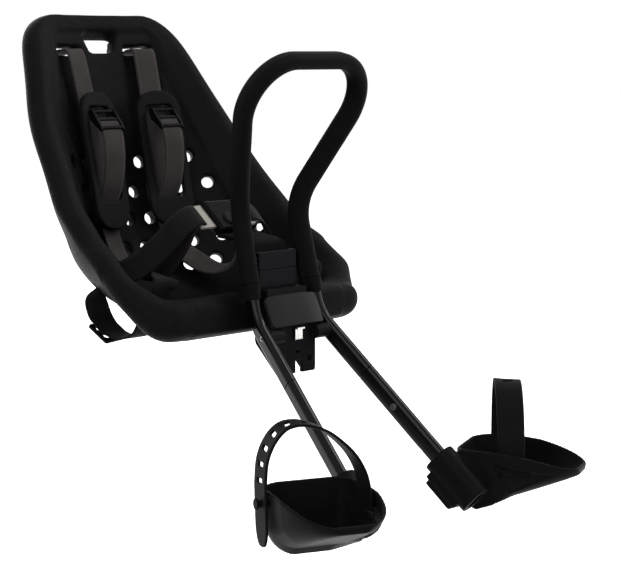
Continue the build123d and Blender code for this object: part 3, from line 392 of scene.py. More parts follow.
def soften_edges(shape: Shape, width: float, segments: int = 2) -> None:
    """Rounds the sharp edges of a hard piece.

    Args:
        shape: The piece, changed in place.
        width: Width of the rounding.
        segments: Steps of the rounding.
    """
    bmesh.ops.dissolve_limit(shape, angle_limit=radians(0.5), verts=shape.verts, edges=shape.edges)
    sharp = [edge for edge in shape.edges
             if len(edge.link_faces) == 2 and edge.calc_face_angle() > SHARP]
    bmesh.ops.bevel(shape, geom=sharp, offset=width, offset_type="OFFSET", segments=segments, profile=0.5,
                    affect="EDGES", clamp_overlap=False, material=-1)


def melt(skin: Shape, verts: list[bmesh.types.BMVert], rounds: int) -> None:
    """Smooths points of a skin.

    Args:
        skin: The skin, changed in place.
        verts: The points.
        rounds: Passes of smoothing.
    """
    for _ in range(rounds):
        bmesh.ops.smooth_vert(skin, verts=verts, factor=0.5, use_axis_x=True, use_axis_y=True,
                              use_axis_z=True)


def moulded_skin(shape: Shape, voxel: float, rounds: int) -> Shape:
    """Even skin over a shape, with its edges melted as in a foam mould.

    Args:
        shape: The shape, used up.
        voxel: Size of the skin's faces.
        rounds: Passes of smoothing.

    Returns:
        The skin as a new bmesh.
    """
    mould = add("mould", shape)
    mesh = mould.data
    remesh = mould.modifiers.new("skin", "REMESH")
    remesh.mode = "VOXEL"
    remesh.voxel_size = voxel
    graph = bpy.context.evaluated_depsgraph_get()
    skin = bmesh.new()
    skin.from_mesh(mould.evaluated_get(graph).to_mesh())
    bpy.data.objects.remove(mould)
    bpy.data.meshes.remove(mesh)
    melt(skin, skin.verts[:], rounds)
    return skin


def new_piece(shape: Shape, node: str, part: str, crease: float = CREASE,
              finish: Moulded | Woven | None = None) -> bpy.types.Object:
    """Makes a piece that rides on the body of a solid and has its finish.

    Args:
        shape: The finished shape, used up.
        node: The solid that it belongs to.
        part: Word added to the solid's name.
        crease: Angle in degrees above which an edge stays sharp.
        finish: Another finish than that of the solid's slot.

    Returns:
        The piece.
    """
    piece = add(f"{node}_{part}", shape)
    mesh = piece.data
    mesh.shade_smooth()
    mesh.set_sharp_from_angle(angle=radians(crease))
    mesh.materials.append((finish or FINISHES[SLOTS[node]]).material())
    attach(piece, frame["nodes"][node]["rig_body"])
    LOG.info("%s: %d faces", piece.name, len(mesh.polygons))
    return piece


def stand_in(shape: Shape, node: str, part: str, crease: float = CREASE,
             finish: Moulded | Woven | None = None) -> bpy.types.Object:
    """Makes a piece in the place of a solid, with the arguments of new_piece."""
    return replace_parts(new_piece(shape, node, part, crease, finish), node)


def hard_piece(node: str, width: float, segments: int = 2,
               finish: Moulded | None = None) -> bpy.types.Object:
    """Copy of a hard solid with softened edges and even normals.

    Args:
        node: Name of the solid.
        width: Width of the rounded edges.
        segments: Steps of the rounding.
        finish: Another finish than that of the solid's slot.

    Returns:
        The piece.
    """
    shape = solid_copy(node)
    soften_edges(shape, width, segments)
    piece = stand_in(shape, node, "part", finish=finish)
    piece.modifiers.new("normals", "WEIGHTED_NORMAL").keep_sharp = True
    return piece


def eased(value: float, start: float, end: float) -> float:
    """Smooth step from zero at start to one at end."""
    share = min(max((value - start) / (end - start), 0.0), 1.0)
    return share * share * (3 - 2 * share)


@dataclass(frozen=True)
class Route:
    """Smooth line of a strap through chosen points, with the direction of its width at each.

    Attributes:
        points: Points in millimetres on the child's left.
        across: Direction of the strap's width at each point.
    """

    points: tuple[Triple, ...]
    across: tuple[Triple, ...]

    def blend(self, rows: tuple[Triple, ...], share: float) -> Vector:
        """Value on a smooth curve through rows.

        Args:
            rows: The points or directions that the curve goes through.
            share: Share of the way from the first row to the last.

        Returns:
            The value there.
        """
        last = len(rows) - 1
        place = min(max(share, 0.0), 1.0) * last
        first = min(int(place), last - 1)
        t = place - first
        before, start, end, after = (Vector(rows[min(max(first + k, 0), last)]) for k in (-1, 0, 1, 2))
        slope = (end - before) * 0.5
        later = (after - start) * 0.5
        rise = t * t * (3 - 2 * t)
        return start * (1 - rise) + end * rise + slope * (t * (1 - t) ** 2) - later * (t * t * (1 - t))

    def stations(self, count: int = 600) -> tuple[list[float], list[float]]:
        """Measures the route.

        Args:
            count: Number of steps.

        Returns:
            Shares along the route and the length up to each, in metres.
        """
        shares = [i / count for i in range(count + 1)]
        spots = [self.blend(self.points, share) * MM for share in shares]
        lengths = [0.0]
        for a, b in zip(spots, spots[1:]):
            lengths.append(lengths[-1] + (b - a).length)
        return shares, lengths

    def band(self, side: Side, width: float, step: float, columns: int,
             tip: float = 0.0) -> tuple[Shape, float]:
        """Flat strip of faces along the route, with a UV map in metres.

        Args:
            side: Side of the child.
            width: Width of the strap.
            step: Length of one row of faces.
            columns: Faces across the strap.
            tip: Length over which the far end narrows to a round tip.

        Returns:
            The strip and its length.
        """
        shares, lengths = self.stations()
        total = lengths[-1]
        strip = bmesh.new()
        bmesh.ops.create_grid(strip, x_segments=columns, y_segments=max(2, int(total / step)), size=0.5,
                              calc_uvs=True)
        uv = strip.loops.layers.uv.verify()
        for face in strip.faces:
            for loop in face.loops:
                loop[uv].uv = (loop.vert.co.x * width, (loop.vert.co.y + 0.5) * total)
        for vert in strip.verts:
            along = (vert.co.y + 0.5) * total
            share = shares[min(bisect_left(lengths, along), len(shares) - 1)]
            middle = self.blend(self.points, share) * MM
            ahead = self.blend(self.points, min(share + 0.002, 1.0))
            ahead -= self.blend(self.points, max(share - 0.002, 0.0))
            wide = self.blend(self.across, share)
            wide = (wide - ahead * (wide.dot(ahead) / ahead.length_squared)).normalized()
            past = max(0.0, along - total + tip) / tip if tip else 0.0
            vert.co = side.turned(middle + wide * (vert.co.x * width * (1 - 0.96 * past * past) ** 0.5))
        return strip, total


def thicken(piece: bpy.types.Object, thickness: float, smooth: int = 0) -> None:
    """Gives a strip its thickness about its middle, and rounds it.

    Args:
        piece: The strip.
        thickness: Full thickness.
        smooth: Levels of subdivision.
    """
    solid = piece.modifiers.new("thickness", "SOLIDIFY")
    solid.thickness = thickness
    solid.offset = 0.0
    if smooth:
        rounding = piece.modifiers.new("rounding", "SUBSURF")
        rounding.levels = smooth
        rounding.render_levels = smooth


@dataclass(frozen=True)
class Section:
    """One cross section of the shell, in millimetres and degrees.

    Attributes:
        y: Depth of the middle of the seat surface.
        z: Height of the middle of the seat surface.
        tilt: Tilt of the section's plane.
        rise: Height of the rim's centre over the middle.
        half: Half the distance of the rim's centres.
        wall: Thickness in the middle.
        radius: Radius of the rim.
    """

    y: float
    z: float
    tilt: float
    rise: float
    half: float
    wall: float
    radius: float

    def height(self, y: float, z: float) -> float:
        """Distance of a point out of the seat."""
        tilt = radians(self.tilt)
        return (z - self.z) * cos(tilt) - (y - self.y) * sin(tilt)

    def past(self, y: float, z: float) -> float:
        """Distance of a point past the section's plane, on the way to the front lip."""
        tilt = radians(self.tilt)
        return -(y - self.y) * cos(tilt) - (z - self.z) * sin(tilt)

    def bow(self) -> Pair:
        """Works out the arc between the rims.

        Returns:
            Radius of the seat's hollow and the angle at which the round rim starts.
        """
        lean = 2 * atan2(self.rise + self.wall / 2, self.half)
        x = self.half - sin(lean) * self.radius
        y = self.rise + cos(lean) * self.radius
        radius = (x * x + y * y) / (2 * y)
        return radius, atan2(x, radius - y)


@dataclass
class Bucket:
    """Foam bucket of the seat.

    Attributes:
        voxel: Size of the skin's faces.
        rounds: Smoothing of the mould.
        recess: Depth of the inner panel below the rolled rim, in millimetres.
        crease: Shares of the way to the rim between which the panel steps up.
        panel: Places among the sections where the panel starts, is deep, rises again and ends.
        channel: Depth of the channels below the strap slots, in millimetres.
        channel_x: Distance of a channel from the middle.
        channel_half: Half the width of a channel.
        channel_edge: Half the width of a channel's soft edge.
        channel_z: Heights at which a channel runs out, is deepest, ends and is gone.
        lintel: Drop of the carry hole's upper edge towards the back, in millimetres.
        hole_half: Half the width of the carry hole at its top.
        hole_edge: Half the width of the soft edge beside the bent stretch.
        hole_z: Heights between which the carry hole's upper edge is bent.
        corner: Least X and highest Y of the front corners that are melted further, in metres.
        corner_rounds: Smoothing of the front corners.
        notch: Middles of the rim's end and of the lip's end, on the child's left.
        notch_radii: Radii of the rim's end and of the lip's end.
        sections: Cross sections from the top of the back to the front of the pan.
    """

    voxel: float = 2.2 * MM
    rounds: int = 4
    recess: float = 3.0
    crease: Pair = (0.7, 0.78)
    panel: Four = (1.6, 2.1, 8.5, 10.0)
    channel: float = 5.0
    channel_x: float = 46.0
    channel_half: float = 17.0
    channel_edge: float = 2.0
    channel_z: Four = (243.0, 294.0, 304.0, 308.0)
    lintel: float = 9.0
    hole_half: float = 28.0
    hole_edge: float = 3.0
    hole_z: Four = (306.0, 320.0, 324.0, 336.0)
    corner: Pair = (0.1, 0.095)
    corner_rounds: int = 40
    notch: tuple[Triple, Triple] = ((144.0, 71.5, 78.4), (121.0, 48.8, 50.6))
    notch_radii: Pair = (14.0, 19.0)
    sections: tuple[Section, ...] = (
        Section(277.0, 337.5, 75.0, -7.0, 51.0, 18.0, 9.0),
        Section(275.5, 331.5, 75.0, -5.0, 71.0, 18.0, 10.5),
        Section(272.0, 319.0, 75.0, -2.0, 84.0, 18.0, 12.0),
        Section(266.0, 294.0, 75.0, 6.0, 95.0, 16.0, 13.0),
        Section(257.0, 256.0, 75.0, 17.0, 107.0, 16.0, 13.0),
        Section(247.0, 215.0, 75.0, 30.0, 119.0, 16.0, 13.0),
        Section(234.0, 162.0, 75.0, 53.0, 129.0, 16.0, 13.0),
        Section(219.0, 110.0, 74.0, 80.0, 137.0, 16.0, 13.0),
        Section(199.0, 77.0, 68.0, 90.0, 140.0, 16.0, 13.0),
        Section(160.0, 55.0, 61.0, 79.0, 143.0, 16.0, 13.0),
        Section(112.0, 49.0, 54.0, 50.0, 144.0, 17.0, 14.0),
        Section(76.0, 53.0, 44.0, 20.0, 138.0, 22.0, 15.0))

    def build(self) -> None:
        """Models the shell as one moulded skin with a sunk inner panel."""
        shape = solid_copy("seat_shell")
        for side in Side:
            self.fill_notch(shape, side)
        skin = moulded_skin(shape, self.voxel, self.rounds)
        for vert in skin.verts:
            vert.co += self.sink(vert.co / MM) * MM
        corners = [v for v in skin.verts if abs(v.co.x) > self.corner[0] and v.co.y < self.corner[1]]
        melt(skin, corners, self.corner_rounds)
        stand_in(skin, "seat_shell", "skin", SMOOTH)

    def fill_notch(self, shape: Shape, side: Side) -> None:
        """Fills the dent between the rim and the front lip.

        Args:
            shape: The shell before it is skinned, changed in place.
            side: Side of the child.
        """
        start, end = (side.turned(Vector(point)) * MM for point in self.notch)
        turn = (end - start).to_track_quat("Z", "Y").to_matrix().to_4x4()
        place = Matrix.Translation((start + end) / 2) @ turn
        first, second = (radius * MM for radius in self.notch_radii)
        bmesh.ops.create_cone(shape, cap_ends=True, segments=48, radius1=first, radius2=second,
                              depth=(end - start).length, matrix=place)

    def channels(self, point: Vector) -> float:
        """Depth of the strap channels.

        Args:
            point: Point of the skin, in millimetres.

        Returns:
            The depth there, in millimetres.
        """
        low, deep, high, gone = self.channel_z
        off = abs(abs(point.x) - self.channel_x)
        inside = 1 - eased(off, self.channel_half - self.channel_edge, self.channel_half + self.channel_edge)
        rise = min(max((point.z - low) / (deep - low), 0.0), 1.0)
        return self.channel * inside * rise * (1 - eased(point.z, high, gone))

    def lintel_drop(self, point: Vector) -> float:
        """Share of the lintel's drop, before the depth in the wall counts.

        Args:
            point: Point of the skin, in millimetres.

        Returns:
            The share there.
        """
        low, first, second, high = self.hole_z
        inside = 1 - eased(abs(point.x), self.hole_half - self.hole_edge, self.hole_half + self.hole_edge)
        return inside * eased(point.z, low, first) * (1 - eased(point.z, second, high))

    def sink(self, point: Vector) -> Vector:
        """Move of a point of the skin that makes the panel, the channels and the lintel.

        Args:
            point: The point, in millimetres.

        Returns:
            The move, in millimetres.
        """
        for place, (above, below) in enumerate(zip(self.sections, self.sections[1:])):
            start, end = above.past(point.y, point.z), -below.past(point.y, point.z)
            if start < 0 or end < 0:
                continue
            share = start / (start + end)
            height = above.height(point.y, point.z) * (1 - share) + below.height(point.y, point.z) * share
            radius, limit = (a * (1 - share) + b * share for a, b in zip(above.bow(), below.bow()))
            reach = hypot(point.x, radius - height)
            depth = max(reach - radius, 0.0)
            fraction = atan2(abs(point.x), radius - height) / limit
            ends = eased(place + share, *self.panel[:2]) * (1 - eased(place + share, *self.panel[2:]))
            wall = above.wall * (1 - share) + below.wall * share
            sunk = self.recess * ends * (1 - eased(fraction, *self.crease)) + self.channels(point)
            push = sunk * max(1 - depth / wall, 0.0)
            tilt = radians(above.tilt * (1 - share) + below.tilt * share)
            inward = (height - radius) / reach * push
            drop = self.lintel * self.lintel_drop(point) * min(depth / wall, 1.0)
            return Vector((point.x / reach * push, -sin(tilt) * inward - cos(tilt) * drop,
                           cos(tilt) * inward - sin(tilt) * drop))
        return Vector()


@dataclass
class Handle:
    """Padded handle loop, frame tube and legs.

    Attributes:
        grip_edge: Rounding at the ends of the grip.
        tube_edge: Rounding at the ends of the tubes.
        screw_edge: Rounding of the leg screws.
    """

    grip_edge: float = 1.2 * MM
    tube_edge: float = 0.5 * MM
    screw_edge: float = 0.3 * MM

    def build(self) -> None:
        """Models the grip, the collars and the tubes."""
        hard_piece("handle_grip", self.grip_edge, 3)
        hard_piece("frame_tube", self.tube_edge)
        for side in Side:
            hard_piece(side.node("collar"), self.tube_edge)
            hard_piece(side.node("lower_leg"), self.tube_edge)
            hard_piece(side.node("leg_screw"), self.screw_edge, finish=SCREW_BLACK)


@dataclass
class StemBlock:
    """Cover plate, stem block with its catch, and strap anchor.

    Attributes:
        edge: Rounding of the plastic edges.
        sheet_edge: Rounding of the bent steel.
    """

    edge: float = 0.8 * MM
    sheet_edge: float = 0.4 * MM

    def build(self) -> None:
        """Models the hard pieces between the legs."""
        for node in ("bridge_plate", "mounting_block", "strap_anchor", "anchor_cap"):
            hard_piece(node, self.edge)
        hard_piece("latch_catch", self.sheet_edge)


@dataclass
class StrapLock:
    """Ladder lock in a pad window: two cheeks and three round bars.

    Attributes:
        side: Side of the child.
        middle: Middle of the lock on the child's left, in millimetres.
        up: Direction from its lower to its upper bar.
        half: Half the distance between the outer faces of the cheeks.
        cheek: Thickness of a cheek.
        pitch: Distance of the bars.
        bar: Radius of a bar.
        seated: Distance of a bar's end from the outer face of its cheek.
        edge: Rounding of the cheeks.
        outline: Cheek seen from the side: distance up the lock and out of its front.
    """

    side: Side
    middle: Triple = (40.5, 215.5, 231.5)
    up: Triple = (0.0, 0.6709, 0.7415)
    half: float = 15.4
    cheek: float = 2.6
    pitch: float = 10.6
    bar: float = 1.9
    seated: float = 1.0
    edge: float = 0.5
    outline: tuple[Pair, ...] = (
        (14.0, 0.5), (11.0, 2.6), (-9.0, 2.4), (-14.0, 0.8),
        (-14.2, -1.6), (-8.0, -3.4), (4.0, -6.6), (13.5, -3.2))

    def build(self) -> None:
        """Models the lock."""
        lock = bmesh.new()
        up = Vector(self.up)
        out = Vector((1.0, 0.0, 0.0)).cross(up)
        turn = Matrix((Vector((1.0, 0.0, 0.0)), up, out)).transposed().to_4x4()
        place = Matrix.Translation(Vector(self.middle) * MM) @ turn
        for hand in (-1, 1):
            ring = [lock.verts.new(place @ (Vector((hand * self.half, u, n)) * MM)) for u, n in self.outline]
            face = lock.faces.new(ring)
            grown = bmesh.ops.extrude_face_region(lock, geom=[face])["geom"]
            inner = [item for item in grown if isinstance(item, bmesh.types.BMVert)]
            bmesh.ops.translate(lock, verts=inner, vec=Vector((-hand * self.cheek * MM, 0.0, 0.0)))
        bmesh.ops.recalc_face_normals(lock, faces=lock.faces)
        sharp = [edge for edge in lock.edges if edge.calc_face_angle(0.0) > SHARP]
        bmesh.ops.bevel(lock, geom=sharp, offset=self.edge * MM, offset_type="OFFSET", segments=2,
                        profile=0.5, affect="EDGES", material=-1)
        sideways = Matrix.Rotation(pi / 2, 4, "Y")
        for step in (-1, 0, 1):
            level = Matrix.Translation(Vector((0.0, step * self.pitch, 0.0)) * MM) @ sideways
            bmesh.ops.create_cone(lock, cap_ends=True, segments=24, radius1=self.bar * MM,
                                  radius2=self.bar * MM, depth=2 * (self.half - self.seated) * MM,
                                  matrix=place @ level)
        for vert in lock.verts:
            vert.co = self.side.turned(vert.co)
        bmesh.ops.recalc_face_normals(lock, faces=lock.faces)
        stand_in(lock, self.side.node("strap_adjuster"), "lock")


@dataclass
class Harness:
    """Webbing, shoulder pads, strap locks and buckle.

    Attributes:
        webbing: Thickness of the webbing.
        step: Length of one row of faces of the webbing.
        columns: Faces across the webbing.
        flap_thickness: Thickness of the covered crotch strap.
        flap_columns: Faces across the crotch strap.
        pad_voxel: Size of the faces of a shoulder pad.
        pad_rounds: Smoothing of a shoulder pad.
        buckle_edge: Rounding of the buckle and its button.
        clip_edge: Rounding of the sliders and tongues.
        press: Direction in which the buckle's button is pressed.
        room: Room under the button at the end of its stroke.
        foot: Height of the button's lower end, which is raised by that room.
        lap: Route of the lap strap.
        shoulder: Route of the shoulder strap.
        tail: Route of the loose strap end in the window of the pad.
        flap: Route of the crotch strap.
    """

    webbing: float = 1.6 * MM
    step: float = 2.5 * MM
    columns: int = 8
    flap_thickness: float = 3.6 * MM
    flap_columns: int = 12
    pad_voxel: float = 0.9 * MM
    pad_rounds: int = 8
    buckle_edge: float = 0.5 * MM
    clip_edge: float = 0.7 * MM
    press: Triple = (0.0, 0.64279, -0.76604)
    room: float = 0.3 * MM
    foot: float = 0.8 * MM
    lap: Route = Route(
        ((31, 90.3, 141.3), (41, 90.3, 141.3), (57, 93, 132), (73, 100, 114), (88, 109, 99), (100, 116, 91),
         (111, 124, 86), (121, 132, 80), (123, 140, 68), (118, 142.5, 55), (113, 141, 44), (111, 132, 34),
         (110, 118, 29), (110, 102, 29), (110, 87, 35), (108, 78, 50), (105, 70, 66), (101, 66, 82),
         (92, 74, 88)),
        ((0, 0.77, 0.64), (0, 0.77, 0.64), (0, 0.7, 0.7), (0, 0.6, 0.8), (0, 0.6, 0.8), (-0.1, 0.5, 0.8),
         (-0.3, 0.4, 0.8), (-0.7, 0.5, 0.4), (-1, 0.2, 0.1)) + ((-1, 0, 0),) * 10)
    shoulder: Route = Route(
        ((50, 289, 295.5), (48.5, 278, 298), (47, 266, 301), (46, 256.5, 297.5), (44.5, 246, 262),
         (42.5, 230, 203), (41, 213.8, 128), (42, 200.5, 100), (47, 181, 86), (53, 157, 77), (51, 130, 86),
         (44, 109, 114), (41, 94.3, 136.6), (31, 94.3, 136.6)),
        ((1, -0.1, 0), (1, -0.1, 0), (1, -0.15, 0), (1, -0.2, 0), (1, -0.2, 0), (1, -0.2, 0), (1, -0.25, 0),
         (1, -0.3, 0), (1, -0.2, 0.2), (1, 0, 0.3), (0.8, 0.5, 0.4), (0.4, 0.7, 0.6), (0, 0.77, 0.64),
         (0, 0.77, 0.64)))
    tail: Route = Route(
        ((40.5, 219, 233), (40.5, 212, 227), (40.5, 206.5, 216), (40.5, 204, 200), (40.5, 204.5, 182),
         (40.5, 208, 165), (40.5, 213, 153.5), (40.5, 216.2, 147.5)),
        ((1, 0, 0),) * 8)
    flap: Route = Route(
        ((0, 23.7, 100), (0, 23.7, 109), (0, 31, 116), (0, 52, 120.5), (0, 74.2, 122)),
        ((1, 0, 0),) * 5)

    def build(self) -> None:
        """Models the straps, pads, locks and buckle."""
        for side in Side:
            self.dress(side)
        strip, _ = self.flap.band(Side.LEFT, FLAP_WIDTH, self.step, self.flap_columns)
        thicken(stand_in(strip, "crotch_strap", "cover", SMOOTH, FLAP_COVER), self.flap_thickness)
        hard_piece("buckle_body", self.buckle_edge)
        self.leave_room(hard_piece("buckle_button", self.buckle_edge))

    def leave_room(self, button: bpy.types.Object) -> None:
        """Ends the button a little above the floor that it is pressed towards.

        Args:
            button: The button, changed in place.
        """
        press = Vector(self.press)
        floor = max(vert.co.dot(press) for vert in button.data.vertices)
        for vert in button.data.vertices:
            if vert.co.dot(press) > floor - self.foot:
                vert.co -= press * self.room

    def dress(self, side: Side) -> None:
        """Models the pieces of one shoulder and hip.

        Args:
            side: Side of the child.
        """
        # The lap strap gets the webbing with painted shade; the shoulder strap keeps the plain webbing
        straps = (("lap_strap", self.lap, SHADED_LAP_WEAVE), ("shoulder_strap", self.shoulder, None))
        for name, route, weave in straps:
            strip, _ = route.band(side, WEBBING_WIDTH, self.step, self.columns)
            thicken(stand_in(strip, side.node(name), "webbing", SMOOTH, weave), self.webbing)
        strip, _ = self.tail.band(side, WEBBING_WIDTH, self.step, self.columns)
        thicken(new_piece(strip, side.node("shoulder_strap"), "tail", SMOOTH), self.webbing)
        node = side.node("shoulder_pad")
        pad = moulded_skin(solid_copy(node), self.pad_voxel, self.pad_rounds)
        stand_in(pad, node, "cover", SMOOTH)
        StrapLock(side).build()
        for name in ("strap_slider", "buckle_tongue"):
            hard_piece(side.node(name), self.clip_edge, 3)


@dataclass
class Footrest:
    """One footrest with its strap, stud and release tab.

    Attributes:
        side: Side of the child.
        voxel: Size of the faces of the cup.
        rounds: Smoothing of the cup.
        latch_edge, stud_edge: Rounding of the release tab and of the stud.
        rubber, strap_width: Thickness and width of the strap.
        strap_step, strap_columns: Length of a row of faces of the strap, and faces across it.
        strap_tip: Length of the strap's round tip.
        strap_root, strap_hook: Where the strap leaves the inner wall and meets the stud, both as
            distances outward and toeward from the heel.
        strap_path: Shares of the way from root to hook, and heights over it.
        slots, slot_start, slot_pitch: Strap holes, distance of the first from the tail, their pitch.
        slot_half, slot_rise: Half the length and half the height of a strap hole.
        bowl: Radius at which the walls turn into the sole, in millimetres.
        half, length: Half the width of the cup, and its length from heel to toe.
        toe_start: Distance from the heel at which the toe narrows.
        toe_taper, toe_curve: Share of its width that the toe loses at the tip, and the power of that.
        sole_z: Height of the underside.
        sole_turn, sole_slope: Distance from the heel at which the underside starts to rise, and its slope.
        heel_taper, heel_end: Share of its width that the heel loses, and where it has it all.
        heel_push: Distance from the heel up to which the sole's rounding also runs round the heel.
        rim_drop, rim_curve: Drop of the rim from heel to toe, and the power of that.
        wall_height: Height of the rim over the sole at the heel.
        wall_from: Distance from the middle at which the inner wall starts.
        recess: Corners of the recess in the inner wall: distance from the heel and height.
        recess_depth, recess_edge: Depth of the recess and width of its soft edge.
        window, window_edge: Middle and half sizes of the recess's window, and half its soft edge.
        heel: Middle of the heel at the height of the strap's root.
        outward, toeward: Level directions away from the bicycle and in which the toes point.
        leg_end, leg_down: Middle of the leg where the sleeve starts, and direction down the leg.
        tab_out: Direction in which the release tab is pulled.
        sleeve_length: Length of the sleeve, which is left as it is.
        sleeve_clear: Distances from the leg's middle between which the moulding sets in.
        tab_middle, tab_edge: Distance of the tab's middle down the leg, and rounding of its frame.
        tab_frame: Length, width and border of the frame that the tab rests on.
        tab_levels: Distances from the leg's middle between which the frame stands.
    """

    side: Side
    voxel: float = 1.1 * MM
    rounds: int = 4
    latch_edge: float = 0.8 * MM
    stud_edge: float = 0.5 * MM
    rubber: float = 2.6 * MM
    strap_width: float = 26 * MM
    strap_step: float = 2 * MM
    strap_columns: int = 13
    strap_tip: float = 20 * MM
    strap_root: Pair = (-37.4, 55.0)
    strap_hook: Pair = (48.6, 26.0)
    strap_path: tuple[Pair, ...] = (
        (0.0, 0.0), (0.015, 18.0), (0.06, 36.0), (0.17, 53.0), (0.35, 68.0), (0.5, 75.0), (0.66, 77.5),
        (0.8, 74.0), (0.91, 63.0), (0.98, 47.0), (1.0, 28.0), (1.0, 14.0), (0.985, -30.0))
    slot_start: float = 58 * MM
    slot_pitch: float = 14 * MM
    slots: int = 6
    slot_half: float = 5.5 * MM
    slot_rise: float = 2 * MM
    bowl: float = 24.0
    half: float = 46.0
    length: float = 117.0
    toe_start: float = 62.0
    toe_taper: float = 0.3
    toe_curve: float = 2.5
    sole_z: float = -131.0
    sole_turn: float = 18.0
    sole_slope: float = 0.374
    heel_taper: float = 0.25
    heel_end: float = 30.0
    heel_push: float = 40.0
    rim_drop: float = 17.0
    rim_curve: float = 1.6
    wall_height: float = 59.0
    wall_from: float = 28.0
    recess: tuple[Pair, ...] = ((37.0, -82.0), (96.0, -92.0), (52.0, -113.0))
    recess_depth: float = 2.8
    recess_edge: float = 2.5
    window: Four = (59.0, -91.0, 14.0, 4.0)
    window_edge: float = 1.0
    heel: Vector = field(default_factory=lambda: Vector((114.0, -126.0, -92.0)))
    outward: Vector = field(default_factory=lambda: Vector((0.91706, 0.39875, 0.0)))
    toeward: Vector = field(default_factory=lambda: Vector((0.39875, -0.91706, 0.0)))
    leg_end: Vector = field(default_factory=lambda: Vector((67.0, -131.8, -79.8)))
    leg_down: Vector = field(default_factory=lambda: Vector((0.13576, -0.72265, -0.67775)))
    tab_out: Vector = field(default_factory=lambda: Vector((-0.27395, 0.63003, -0.72665)))
    sleeve_length: float = 60.0
    sleeve_clear: Pair = (17.0, 30.0)
    tab_middle: float = 27.0
    tab_edge: float = 1.6 * MM
    tab_frame: Triple = (40.0, 20.0, 5.0)
    tab_levels: Pair = (9.0, 19.7)

    def build(self) -> None:
        """Models the cup and the pieces on it."""
        node = self.side.node("footrest")
        cup = moulded_skin(solid_copy(node), self.voxel, self.rounds)
        for vert in cup.verts:
            vert.co = self.side.turned(self.mould(self.side.turned(vert.co) / MM)) * MM
        stand_in(cup, node, "cup", SMOOTH)
        hard_piece(self.side.node("footrest_latch"), self.latch_edge)
        hard_piece(self.side.node("foot_stud"), self.stud_edge)
        self.tab_seat()
        self.strap()

    def mould(self, point: Vector) -> Vector:
        """Rounds the sole, rim and ends of the cup and presses the recess into its inner wall.

        Args:
            point: Point of the cup's skin on the child's left, in millimetres.

        Returns:
            The point's new place.
        """
        way = point - self.heel
        across, along = way.dot(self.outward), way.dot(self.toeward)
        lift = point.z - self.sole_z - self.sole_slope * max(0.0, along - self.sole_turn)
        gone = min(max(self.bowl - lift, 0.0), self.bowl)
        inset = self.bowl - (self.bowl ** 2 - gone ** 2) ** 0.5
        toe = max(0.0, (along - self.toe_start) / (self.length - self.toe_start))
        heel = max(0.0, 1 - along / self.heel_end)
        narrow = self.toe_taper * toe ** self.toe_curve + self.heel_taper * heel ** 2
        near = min(max((point - self.leg_end).dot(self.leg_down), 0.0), self.sleeve_length)
        free = eased((point - self.leg_end - self.leg_down * near).length, *self.sleeve_clear)
        moved = across * (1 - free * inset / self.half) * (1 - free * narrow)
        later = along + free * inset * max(0.0, 1 - along / self.heel_push)
        if across < -self.wall_from:
            moved += free * self.sunk(along, point.z)
        curve = max(0.0, (along - self.heel_end) / (self.length - self.heel_end)) ** self.rim_curve
        sag = free * self.rim_drop * (curve - toe) * min(max(lift / self.wall_height, 0.0), 1.0)
        return (point + self.outward * (moved - across) + self.toeward * (later - along)
                - Vector((0.0, 0.0, sag)))

    def sunk(self, along: float, z: float) -> float:
        """Depth of the recess and its window in the inner wall.

        Args:
            along: Distance from the heel.
            z: Height.

        Returns:
            The depth there, in millimetres.
        """
        inside = 1.0
        for (t0, z0), (t1, z1) in zip(self.recess, self.recess[1:] + self.recess[:1]):
            left = ((t1 - t0) * (z0 - z) - (t0 - along) * (z1 - z0)) / hypot(t1 - t0, z1 - z0)
            inside = min(inside, eased(left, 0.0, self.recess_edge))
        t, height, length, rise = self.window
        edge = self.window_edge
        hole = eased(length - abs(along - t), -edge, edge) * eased(rise - abs(z - height), -edge, edge)
        return self.recess_depth * (inside + hole)

    def tab_seat(self) -> None:
        """Models the raised frame on the sleeve that the release tab rests on."""
        length, width, border = (value * MM for value in self.tab_frame)
        low, high = self.tab_levels
        seat = bmesh.new()
        bmesh.ops.create_grid(seat, x_segments=1, y_segments=1, size=0.5)
        bmesh.ops.scale(seat, vec=(length, width, 1.0), verts=seat.verts)
        plate = seat.faces[:]
        bmesh.ops.inset_region(seat, faces=plate, thickness=border, use_boundary=True, use_even_offset=True)
        bmesh.ops.delete(seat, geom=plate, context="FACES")
        grown = bmesh.ops.extrude_face_region(seat, geom=seat.faces[:])["geom"]
        top = [item for item in grown if isinstance(item, bmesh.types.BMVert)]
        bmesh.ops.translate(seat, verts=top, vec=Vector((0.0, 0.0, (high - low) * MM)))
        bmesh.ops.recalc_face_normals(seat, faces=seat.faces)
        bmesh.ops.bevel(seat, geom=seat.edges[:], offset=self.tab_edge, offset_type="OFFSET", segments=3,
                        profile=0.5, affect="EDGES", material=-1)
        turn = Matrix((self.leg_down, self.tab_out.cross(self.leg_down), self.tab_out)).transposed().to_4x4()
        middle = self.leg_end + self.leg_down * self.tab_middle + self.tab_out * low
        bmesh.ops.transform(seat, matrix=Matrix.Translation(middle * MM) @ turn, verts=seat.verts)
        for vert in seat.verts:
            vert.co = self.side.turned(vert.co)
        bmesh.ops.recalc_face_normals(seat, faces=seat.faces)
        new_piece(seat, self.side.node("footrest"), "tab_seat")

